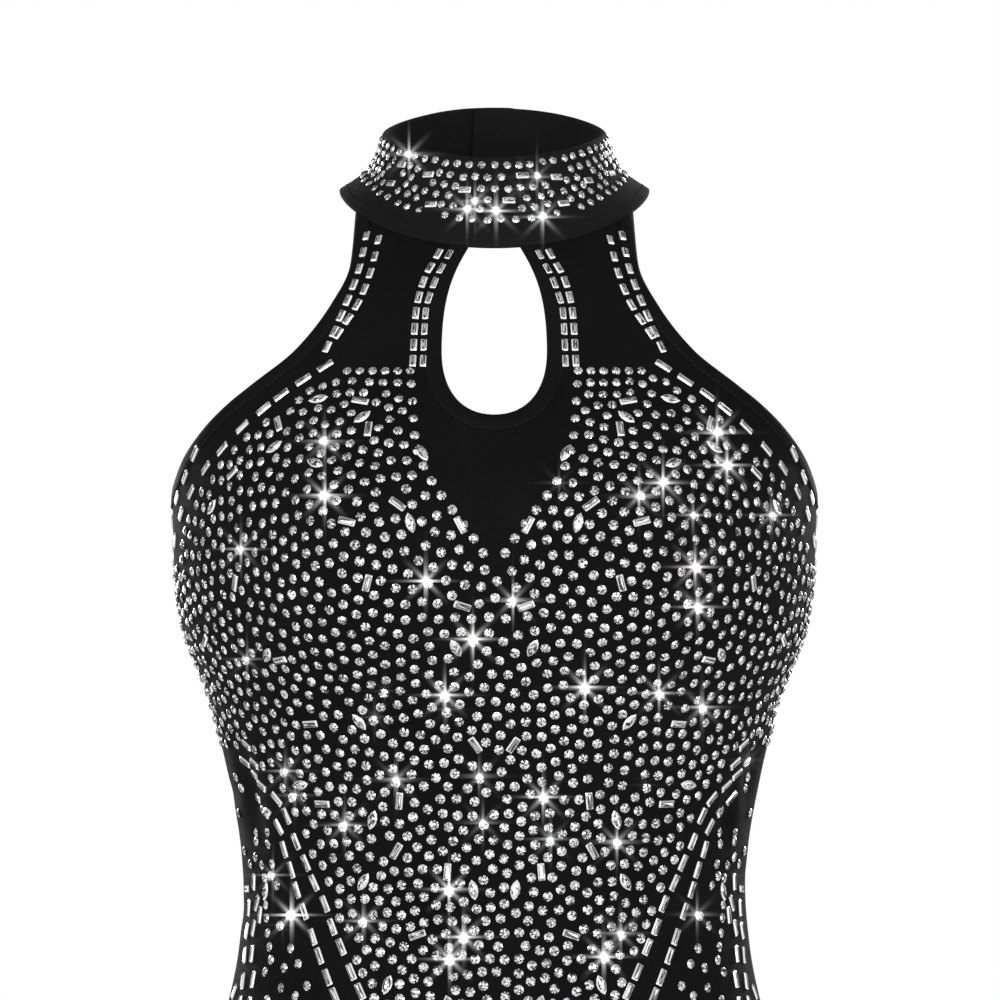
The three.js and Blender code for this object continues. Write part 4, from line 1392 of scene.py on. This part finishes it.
def in_field(points, across):
    photo_x, photo_y = pictured_at(points)
    inside = (photo_y > FIELD_TOP - FIELD_MARGIN) & (photo_y < FIELD_FOOT)
    inside &= photo_x >= table_curve(FIELD_OUTER, photo_y) - FIELD_MARGIN
    inside &= photo_x <= table_curve(FIELD_INNER, photo_y) + FIELD_MARGIN
    return inside & (np.minimum(across, 2 - across) > SIDE_CLEARANCE)


def field_spacing(points):
    return table_curve(SPACING, pictured_at(points)[1])


def nearest(points, others, count):
    """The indices of the others that are nearest to each point."""
    squared = (others**2).sum(1)[None] - 2 * points @ others.T
    return np.argpartition(squared, count, axis=1)[:, :count]


# The scatter: how many places are thrown and how far below the hip seam, and how close to each other they
# may land in shares of the field's spacing. AREA_CAP is the percentile of the surface's size that gets the
# whole share of them.
DARTS = 90000
DART_DEPTH = 130
DART_SPACING = 0.79
AREA_CAP = 99
# The relaxing: its steps, how often the neighbours are looked for anew and how many, how far a stone pushes
# in shares of the spacing and how hard, and the same for the ornaments' points.
RELAXING = dict(steps=70, renew=8, neighbours=12, reach=1.04, push=0.32)
OBSTACLE = dict(neighbours=6, most=4, push=0.6)
LEAST_DISTANCE = 0.1


def thrown_field(obstacles, clearances, fixed, random):
    """Places of the whole front thrown at random, none closer to a stone than the field's spacing allows."""
    across = 2 * random.random(DARTS)
    height = COLLAR_SEAM + random.random(DARTS) * (HIP_SEAM - DART_DEPTH - COLLAR_SEAM)
    points = front_point(across, height)
    along_a, along_b, _ = surface_frame(front_point, -1, across, height)
    size = np.linalg.norm(np.cross(along_a, along_b), axis=1)
    keep = in_field(points, across) & (random.random(DARTS) < size / np.percentile(size, AREA_CAP))
    across, height, points = across[keep], height[keep], points[keep]
    clear = np.linalg.norm(obstacles[nearest(points, obstacles, 1)[:, 0]] - points, axis=1) > clearances.min()
    across, height, points = across[clear], height[clear], points[clear]
    closest = DART_SPACING * field_spacing(points)
    chosen = np.zeros((len(points) + len(fixed), 3))
    chosen[: len(fixed)] = fixed
    count, kept = len(fixed), []
    for i, point in enumerate(points):
        if (np.linalg.norm(chosen[:count] - point, axis=1) < closest[i]).any():
            continue
        chosen[count] = point
        count += 1
        kept.append(i)
    return across[kept], height[kept]


def pushed(points, others, push_at):
    """How far each point is pushed by its own row of others, by a push for each distance."""
    away = points[:, None] - others
    distance = np.linalg.norm(away, axis=2)
    return (away * (push_at(distance) / np.maximum(distance, LEAST_DISTANCE))[..., None]).sum(1)


def relaxed_field(obstacles, clearances, fixed, random):
    """Places (across, height) of the front's round stones: thrown at random, then pushed evenly apart."""
    across, height = thrown_field(obstacles, clearances, fixed, random)
    for step in range(RELAXING["steps"]):
        points = front_point(across, height)
        others = np.concatenate([points, fixed])
        if step % RELAXING["renew"] == 0:
            near = nearest(points, others, RELAXING["neighbours"])
            near_obstacles = nearest(points, obstacles, OBSTACLE["neighbours"])
        reach = field_spacing(points)[:, None] * RELAXING["reach"]
        limits = clearances[near_obstacles]
        move = pushed(points, others[near], lambda apart: np.clip(1 - apart / reach, 0, 1) * reach)
        move *= RELAXING["push"]
        move += OBSTACLE["push"] * pushed(points, obstacles[near_obstacles],
                                          lambda apart: np.clip(limits - apart, 0, OBSTACLE["most"]))
        new_across, new_height = stepped_by(front_point, -1, across, height, move)
        allowed = in_field(front_point(new_across, new_height), new_across)
        across = np.where(allowed, new_across, across)
        height = np.where(allowed, new_height, height)
    return across, height


def ornament_spots(places, side):
    """Spots, normals and directions of stones given in pixels with an angle, on one side of the body."""
    table = np.array(places, float)
    spots, normals = stand_on(*pictured_place(table), side)
    return spots, normals, picture_direction(normals, table[:, 2], side)


def set_ornaments(name, stone_shape, places, random):
    spots, normals, along = joined(ornament_spots(places, side) for side in (-1, 1))
    return set_stones(name, stone_shape, spots, stone_frames(normals, along), random)


OBSTACLE_END = 1.2
OBSTACLE_SHARES = (-1, -0.33, 0.33, 1)


def obstacle_points(places, sizes):
    """Points along the ornaments of the left half of the body, and how far a round stone stays from each."""
    spots, _, along = ornament_spots(places, 1)
    reach = sizes["length"] / 2 - OBSTACLE_END
    points = np.concatenate([spots + unit(along) * reach * share for share in OBSTACLE_SHARES])
    return points, np.full(len(points), sizes["clear"])


def edge_rounds():
    """Round stones set in a row along the field's top edge and its edge towards the centre line."""
    top = along_line([(350, 371), (413, 371)], 6)
    inner = along_line([(414, 384), (418, 440), (486, 553)], 12)
    return [(x, y) for x, y, _ in top + inner]


def random_turns(normals, random):
    turn = random.random(len(normals)) * 2 * np.pi
    return np.stack([np.cos(turn), np.zeros(len(turn)), np.sin(turn)], -1)


def dense_field(random):
    """Spots and normals of the front's round stones."""
    obstacles, clearances = joined([
        obstacle_points(SMALL_BAGUETTES, SMALL_BAGUETTE),
        obstacle_points(LARGE_BAGUETTES, LARGE_BAGUETTE),
        obstacle_points(MARQUISES, MARQUISE),
    ])
    obstacles, clearances = np.concatenate([obstacles, obstacles * MIRROR]), np.tile(clearances, 2)
    fixed_inward, fixed_height = pictured_place(np.array(edge_rounds() + SPARSE_ROUNDS, float))
    fixed_across = np.concatenate([fixed_inward, 2 - fixed_inward])
    fixed_height = np.tile(fixed_height, 2)
    fixed = front_point(fixed_across, fixed_height)
    across, height = relaxed_field(obstacles, clearances, fixed, random)
    across, height = np.concatenate([fixed_across, across]), np.concatenate([fixed_height, height])
    return joined(stand_on(1 - np.abs(across[half] - 1), height[half], side)
                  for half, side in ((across <= 1, 1), (across > 1, -1)))


TILT = 0.05

# The stones that catch a glint lamp, in pixels of the photograph.
GLINTS = [
    (404, 154), (380, 166), (469, 191), (469, 207), (518.5, 177), (543, 176), (541, 194), (504, 201.5),
    (546, 220), (603, 155), (316, 440), (318, 494), (238, 555), (296, 598), (190, 600), (250, 660),
    (430, 592), (464, 650), (380, 688), (373, 728), (442, 706), (453, 712), (288.5, 777), (294, 800),
    (394, 790), (344.5, 825.5), (282, 874), (283, 907), (280.5, 918.5), (290, 929), (361, 922), (450, 885),
    (460, 933), (449, 965), (483, 780), (492, 830), (559, 482), (515, 598), (645, 489), (668, 489),
    (697, 512), (722, 427), (733, 463), (720, 552), (702, 573), (697, 603), (688, 606), (582, 692),
    (660, 697), (704, 714), (551, 803), (545, 848), (614, 845), (640, 790), (619, 935), (607, 965),
    (701, 918), (778, 510),
]
# The lamp of the wearer's left side; the right side has its mirror image.
GLINT_LAMP = dict(place=(0.45, -1.9, 0.7), target=(0, 0, -0.3), width=0.14, power=40)
GLINT_REACH = 12
# how small the round stones are at the field's top, how much they grow, and over how many pixels
YOKE = dict(size=0.9, growth=0.1, fade=100)


def yoke_size(spots):
    """The round stones are slightly smaller at the top of the field."""
    return YOKE["size"] + YOKE["growth"] * eased((pictured_at(spots)[1] - FIELD_TOP) / YOKE["fade"])


def set_rounds(name, spots, normals, sizes, random):
    """Round stones with a random turn and a slight tilt; those nearest to the glints are their own piece."""
    tilted = unit(normals + random.normal(size=normals.shape) * TILT)
    frames = stone_frames(tilted, random_turns(normals, random))
    chosen = glinting(spots)
    frames[chosen] = turned_to_glint(spots[chosen], tilted[chosen])
    frames = frames * np.broadcast_to(sizes, len(spots))[:, None, None]
    plain = np.setdiff1d(np.arange(len(spots)), chosen)
    pieces = [set_stones(name, round_stone(), spots[plain], frames[plain], random)]
    if len(chosen):
        pieces.append(set_stones(name + "_glinting", round_stone(), spots[chosen], frames[chosen], random))
    return pieces


def glinting(spots):
    """The stones within a stone's width of a glint, as seen in the picture."""
    size = pixel_size(spots[:, 1])
    x = VIEW["middle"] + (spots[:, 0] - VIEW["x"]) / size
    y = VIEW["middle"] - (spots[:, 2] - VIEW["height"]) / size
    apart = np.hypot(x[:, None] - np.array(GLINTS)[:, 0], y[:, None] - np.array(GLINTS)[:, 1])
    apart[spots[:, 1] > 0] = np.inf
    return np.unique(apart.argmin(0)[apart.min(0) < GLINT_REACH])


def turned_to_glint(spots, normals):
    """Frames in which a crown facet mirrors the glint lamp of the stone's side to the camera: each stone is
    turned about its own axis and then tilted the little that is left."""
    slope = math.atan2(ROUND["height"] - GIRDLE, ROUND["radius"] - ROUND["table"])
    half_turn = math.pi / (2 * ROUND["sides"])
    spin = np.array([[math.cos(half_turn), math.sin(half_turn), 0],
                     [-math.sin(half_turn), math.cos(half_turn), 0], [0, 0, 1]])
    camera = np.array([VIEW["x"], -VIEW["distance"], VIEW["height"]])
    lamp = np.array(GLINT_LAMP["place"]) / MM * np.where(spots[:, :1] < 0, MIRROR, 1)
    wanted = unit(unit(camera - spots) + unit(lamp - spots))
    result = []
    for frame_now, want in zip(stone_frames(normals, wanted), wanted):
        facet = frame_now @ np.array([math.sin(slope), 0, math.cos(slope)])
        tilt = np.array(Vector(facet).rotation_difference(Vector(want)).to_matrix())
        result.append(tilt @ frame_now @ spin)
    return np.array(result).reshape(-1, 3, 3)


COLLAR_STONE_RINGS = (0.308, 0.443, 0.56, 0.683, 0.794, 0.923)
COLLAR_STEP = 0.108
COLLAR_ROUND_SIZE = 0.84
COLLAR_END = 0.5
# how unevenly they are set, in turns and rings, and how far they stay from the baguettes
COLLAR_UNEVEN = dict(turn=0.005, ring=0.006)
COLLAR_CLEAR = 4.9
COLLAR_BAGUETTES = [(431.8, 175, 0), (394.7, 184, -8), (434.3, 205, 0), (467.6, 190.4, 0), (524.7, 176, 3),
                    (558.4, 177.6, 2), (590, 181, 8), (511.4, 201, 0), (565.5, 204, 8), (617.6, 175, 15),
                    (405.7, 165, -10)]


def collar_stones(random):
    """Spots and normals of the collar's round stones: rings of them, each set between the last one's."""
    parts = []
    whole = 2 * np.pi - 2 * COLLAR_END
    count = round(whole / COLLAR_STEP)
    for i, ring in enumerate(COLLAR_STONE_RINGS):
        turn = COLLAR_END + (np.arange(count + 1 - i % 2) + 0.5 * (i % 2)) * whole / count
        turn = turn + random.normal(size=len(turn)) * COLLAR_UNEVEN["turn"]
        rings = np.full(len(turn), ring) + random.normal(size=len(turn)) * COLLAR_UNEVEN["ring"]
        parts.append(on_collar(turn, rings, lap_lift(turn) + COLLAR_PROUD + STONE_LIFT))
    return joined(parts)


def collar_place(photo_x, photo_y):
    """The place (turn, ring) of the collar's front that is seen at a pixel."""
    y, ring = np.full(np.shape(photo_x), COLLAR_START), np.full(np.shape(photo_x), 0.5)
    for _ in range(SIGHT_STEPS):
        size = pixel_size(y)
        x = (np.asarray(photo_x) - PHOTO_CENTRE) * size
        z = VIEW["height"] + (VIEW["middle"] - np.asarray(photo_y)) * size
        width = collar_section(ring)["width"]
        turn = np.pi - np.arcsin(np.clip(x / width, -1, 1))
        low, high = np.zeros(ring.shape), np.ones(ring.shape)
        for _ in range(HALVINGS):
            middle = (low + high) / 2
            under = collar_point(turn, middle)[..., 2] < z
            low, high = np.where(under, middle, low), np.where(under, high, middle)
        ring = (low + high) / 2
        y = collar_point(turn, ring)[..., 1]
    return turn, ring


def collar_ornaments():
    table = np.array(COLLAR_BAGUETTES, float)
    turn, ring = collar_place(table[:, 0], table[:, 1])
    spots, normals = on_collar(turn, ring, COLLAR_PROUD + STONE_LIFT)
    return spots, normals, picture_direction(normals, table[:, 2], -1)


SEED = 11


def all_stones():
    random = np.random.default_rng(SEED)
    pieces = [
        set_ornaments("stones_small_baguettes", baguette_stone(SMALL_BAGUETTE), SMALL_BAGUETTES, random),
        set_ornaments("stones_large_baguettes", baguette_stone(LARGE_BAGUETTE), LARGE_BAGUETTES, random),
        set_ornaments("stones_marquises", marquise_stone(), MARQUISES, random),
    ]
    spots, normals = dense_field(random)
    pieces += set_rounds("stones_rounds_front", spots, normals, yoke_size(spots), random)
    bar_spots, bar_normals, bar_along = collar_ornaments()
    pieces.append(set_stones("stones_collar_baguettes", baguette_stone(SMALL_BAGUETTE), bar_spots,
                             stone_frames(bar_normals, bar_along), random))
    spots, normals = collar_stones(random)
    clear = (np.linalg.norm(spots[:, None] - bar_spots[None], axis=2) > COLLAR_CLEAR).all(1)
    pieces += set_rounds("stones_rounds_collar", spots[clear], normals[clear], COLLAR_ROUND_SIZE, random)
    return pieces


def light_glints(pieces):
    """Two small lamps that only the glinting stones catch."""
    chosen = bpy.data.collections.new("glinting_stones")
    for piece in pieces:
        if piece.name.endswith("_glinting"):
            chosen.objects.link(piece)
    place, width = GLINT_LAMP["place"], GLINT_LAMP["width"]
    for side, name in ((1, "glint_left"), (-1, "glint_right")):
        at = (place[0] * side, *place[1:])
        lamp = area_light(name, at, GLINT_LAMP["target"], (width, width), GLINT_LAMP["power"])
        lamp.data.shape = "DISK"
        lamp.light_linking.receiver_collection = chosen


STAR_ARMS = [
    {"Strength": 0.6, "Streaks Angle": 0.0, "Iterations": 3, "Fade": 0.7},
    {"Strength": 0.25, "Streaks Angle": math.radians(45), "Iterations": 2, "Fade": 0.6},
]
STAR_KIND = {"Threshold": 3.0, "Streaks": 4, "Color Modulation": 0.0}


def set_star_filter():
    """Draws the brightest glints out into the stars of a star filter: four long arms and four short ones."""
    bpy.context.scene.use_nodes = True
    tree = bpy.context.scene.node_tree
    tree.nodes.clear()
    picture = tree.nodes.new("CompositorNodeRLayers").outputs["Image"]
    for settings in STAR_ARMS:
        glare = tree.nodes.new("CompositorNodeGlare")
        glare.glare_type = "STREAKS"
        fed(tree, glare, {"Image": picture, **STAR_KIND, **settings})
        picture = glare.outputs["Image"]
    output = tree.nodes.new("CompositorNodeComposite")
    tree.links.new(picture, output.inputs["Image"])


# ---------------------------------------------------------------- stitching

# Stitches: how long each is, from one to the next, how thick, and how far it turns to and fro from its row.
PLAIN_STITCH = dict(length=2.1, pitch=2.6, radius=0.24, turn=0.0)
ZIGZAG_STITCH = dict(length=1.9, pitch=1.2, radius=0.22, turn=0.75)
HOLE_STITCH = dict(length=1.5, pitch=0.42, radius=0.2, turn=math.pi / 2)
SHANK_STITCH = dict(length=3.0, radius=0.36)
# The rows beside the bindings: how far from the edge, how high, and up to what height.
BAND_ROW = dict(off=6.1, lift=0.6)
KEYHOLE_ROW = dict(off=6.8, lift=0.25)
ROW_TOP = COLLAR_SEAM - 3
COLLAR_ROW = dict(ring=0.07, start=0.24, end=2 * np.pi + 0.15, count=400)
HEM_ROWS = (11.2, 12.8)
HEM_POINTS = 80
BUTTONHOLE = dict(half=6.2, side=0.75, shift=1.6, count=60)
# where a thread's rings are along its half length and how thick it is there, and how far it stands out
THREAD_RINGS = ((-0.62, 0.8), (0.0, 1.0), (0.62, 0.8))
THREAD_PROUD = 0.4


def stitch_shape(kind):
    """A slender six-sided thread whose ends dive into the cloth."""
    angle = np.arange(6) * np.pi / 3
    half, radius = kind["length"] / 2, kind["radius"]
    rings = []
    for share, size in THREAD_RINGS:
        outline = np.stack([np.cos(angle), np.sin(angle)], -1) * radius * size
        rings.append(np.concatenate([np.full((6, 1), share * half), outline], 1))
    points = np.concatenate([*rings, [[-half, 0, -radius], [half, 0, -radius]]])
    first, middle, last = (list(range(i * 6, i * 6 + 6)) for i in range(3))
    faces = band(first, middle) + band(middle, last)
    faces += [face[::-1] for face in fan(18, first)] + fan(19, last)
    return points, faces


def stitch_places(points, normals, kind):
    """Spots and frames of the stitches of a row that follows a path."""
    passed = path_lengths(points)
    at = np.arange(kind["pitch"] / 2, passed[-1], kind["pitch"])

    def follow(vectors):
        return np.stack([np.interp(at, passed, vectors[:, i]) for i in range(3)], -1)

    out = unit(follow(normals))
    frames = stone_frames(out, follow(np.gradient(points, passed, axis=0)))
    turn = (kind["turn"] * (-1.0) ** np.arange(len(at)))[:, None]
    along = frames[:, :, 0] * np.cos(turn) + frames[:, :, 1] * np.sin(turn)
    return follow(points) + out * kind["radius"] * THREAD_PROUD, stone_frames(out, along)


def sewn(name, kind, rows):
    """One joined mesh of the stitches of some rows, each a path's points and normals."""
    spots, frames = joined(stitch_places(*row, kind) for row in rows)
    piece = new_object(name, *joined_copies(*stitch_shape(kind), spots, frames), thread)
    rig.slot(piece, "knit")
    return piece


def edge_rows(edge, sides, row):
    """The points and normals of a row of stitches beside a bound edge, for each side."""
    for side in sides:
        surface, sign, inward, height, towards = edge_path(edge, side, ROW_TOP)
        places = walked(surface, sign, inward, height, row["off"], towards)
        yield raised(surface, sign, *places, row["lift"])


def hem_rows(face, side):
    surface, sign = quarter(face, side)
    inward = np.linspace(0.005, 0.995, HEM_POINTS)
    for above in HEM_ROWS:
        lift = HEM["proud"] * (above < HEM["height"])
        yield raised(surface, sign, inward, np.full(HEM_POINTS, ANKLE + above), lift)


def collar_row():
    turn = np.linspace(COLLAR_ROW["start"], COLLAR_ROW["end"], COLLAR_ROW["count"])
    return on_collar(turn, np.full(turn.shape, COLLAR_ROW["ring"]), lap_lift(turn) + COLLAR_PROUD)


def buttonhole_row(i):
    """A slender oval round the slit under a button."""
    spot, side, up, normal = nape_axes(i)
    angle = np.linspace(0, 2 * np.pi, BUTTONHOLE["count"] + 1)
    x = BUTTONHOLE["shift"] + BUTTONHOLE["half"] * np.cos(angle)
    y = BUTTONHOLE["side"] * np.sin(angle)
    return spot + x[:, None] * side + y[:, None] * up, np.tile(normal, (len(x), 1))


def shank_threads():
    """The two bars of thread on each button."""
    spots, frames = [], []
    for i in range(2):
        spot, side, up, normal = nape_axes(i)
        rise = BUTTON_SECTION[0][1] * BUTTON["height"] + BUTTON["seat"] - COLLAR_PROUD
        for row in (-1, 1):
            spots.append(spot + up * row * BUTTON_HOLE["spread"] + normal * rise)
            frames.append(np.stack([side, up, normal], -1))
    shape = joined_copies(*stitch_shape(SHANK_STITCH), np.array(spots), np.array(frames))
    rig.slot(new_object("button_threads", *shape, thread), "button")


def all_stitches():
    """The stitching of each cloth piece, by the piece's node."""
    on_node = {
        "collar": sewn("stitches_collar", PLAIN_STITCH, [collar_row()]),
        "keyhole_binding": sewn("stitches_keyhole", ZIGZAG_STITCH,
                                edge_rows("keyhole", (1, -1), KEYHOLE_ROW)),
        "armhole_binding_left": sewn("stitches_armhole_left", PLAIN_STITCH,
                                     edge_rows("armhole", (1,), BAND_ROW)),
        "armhole_binding_right": sewn("stitches_armhole_right", PLAIN_STITCH,
                                      edge_rows("armhole", (-1,), BAND_ROW)),
        "back_binding": sewn("stitches_open_back", PLAIN_STITCH,
                             edge_rows("open_back", (1, -1), BAND_ROW)),
    }
    for node, (face, side) in LEG_PANELS.items():
        on_node[node] = sewn("stitches_" + node, PLAIN_STITCH, hem_rows(face, side))
    sewn("buttonholes", HOLE_STITCH, [buttonhole_row(i) for i in range(2)])
    shank_threads()
    return on_node


# ---------------------------------------------------------------- the cut

# Each cloth piece's flat cut in metres (width, length) and its area where it isn't a rectangle.
CUTS = {
    "front": ((0.42, 0.40), 0.115),
    "back": ((0.38, 0.265), 0.070),
    "leg_front": ((0.235, 0.87), 0.155),
    "leg_back": ((0.245, 0.87), 0.163),
    "collar": ((0.44, 0.038), 0.0155),
    "keyhole_binding": ((0.016, 0.21), None),
    "armhole_binding": ((0.016, 0.225), None),
    "back_binding": ((0.016, 0.40), None),
}


def declare_sheets(cloths, carried):
    """States each piece's cut. cloths has each node's piece and its neighbours; carried, what is on it."""
    for node, (piece, neighbours) in cloths.items():
        flat, area = CUTS[node.replace("_left", "").replace("_right", "")]
        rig.sheet(piece, flat=flat, held="stretched", rests_on=neighbours, area=area,
                 with_pieces=carried.get(node, []))


# ---------------------------------------------------------------- the scene

bpy.context.scene.view_settings.view_transform = "Standard"
set_camera()
set_world()
set_floor()
for settings in LIGHTS:
    area_light(*settings)

black_knit = knit("black_rib_knit", (0.0018, 0.0017, 0.0020), (0.0074, 0.0070, 0.0078), 0.8, 0.14, 1.1)
collar_knit = knit("black_collar_knit", (0.0058, 0.0056, 0.0061), (0.0125, 0.0121, 0.013), 0.6, 0.06, 0.7)
binding_knit = knit("black_binding_knit", (0.0025, 0.0024, 0.0027), (0.007, 0.0068, 0.0073),
                    0.5, 0.04, 0.5, 0.75)
button_gloss = gloss_plastic()
thread = thread_cloth()
stone = crystal()

front = front_panel(black_knit)
back = back_panel(black_knit)
legs = {node: leg_panel("jumpsuit_" + node, face, side, black_knit)
        for node, (face, side) in LEG_PANELS.items()}
collar = collar_band(collar_knit)
bindings = {
    "keyhole_binding": edge_binding("keyhole_edge_binding", "keyhole", (1, -1), binding_knit),
    "armhole_binding_left": edge_binding("armhole_edge_left", "armhole", (1,), binding_knit),
    "armhole_binding_right": edge_binding("armhole_edge_right", "armhole", (-1,), binding_knit),
    "back_binding": edge_binding("open_back_binding", "open_back", (1, -1), binding_knit),
}
buttons = {
    "nape_button_lower": nape_button("nape_button_lower_fine", 0, button_gloss),
    "nape_button_upper": nape_button("nape_button_upper_fine", 1, button_gloss),
}
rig.replaces(front, "front")
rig.replaces(back, "back")
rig.replaces(collar, "collar")
for node, piece in {**legs, **bindings, **buttons}.items():
    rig.replaces(piece, node)
for piece in (front, back, *legs.values()):
    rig.slot(piece, "knit")
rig.slot(collar, "collar_knit")
for piece in bindings.values():
    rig.slot(piece, "binding_knit")
for piece in buttons.values():
    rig.slot(piece, "button")
stones = all_stones()
stitches = all_stitches()
light_glints(stones)
carried = {node: [piece] for node, piece in stitches.items()}
carried["collar"] += [piece for piece in stones if "collar" in piece.name]
carried["front"] = [piece for piece in stones if "collar" not in piece.name]
declare_sheets({
    "front": (front, ("collar",)),
    "back": (back, ("front",)),
    "leg_front_left": (legs["leg_front_left"], ("front",)),
    "leg_front_right": (legs["leg_front_right"], ("front",)),
    "leg_back_left": (legs["leg_back_left"], ("back",)),
    "leg_back_right": (legs["leg_back_right"], ("back",)),
    "collar": (collar, ("front",)),
    "keyhole_binding": (bindings["keyhole_binding"], ("front",)),
    "armhole_binding_left": (bindings["armhole_binding_left"], ("front",)),
    "armhole_binding_right": (bindings["armhole_binding_right"], ("front",)),
    "back_binding": (bindings["back_binding"], ("back",)),
}, carried)
set_star_filter()

visual_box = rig.bounds()
with open("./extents.json", "w") as file:
    json.dump({
        "cad": [list(corner) for corner in CAD_BOX],
        "visual": [list(corner) for corner in visual_box],
    }, file)
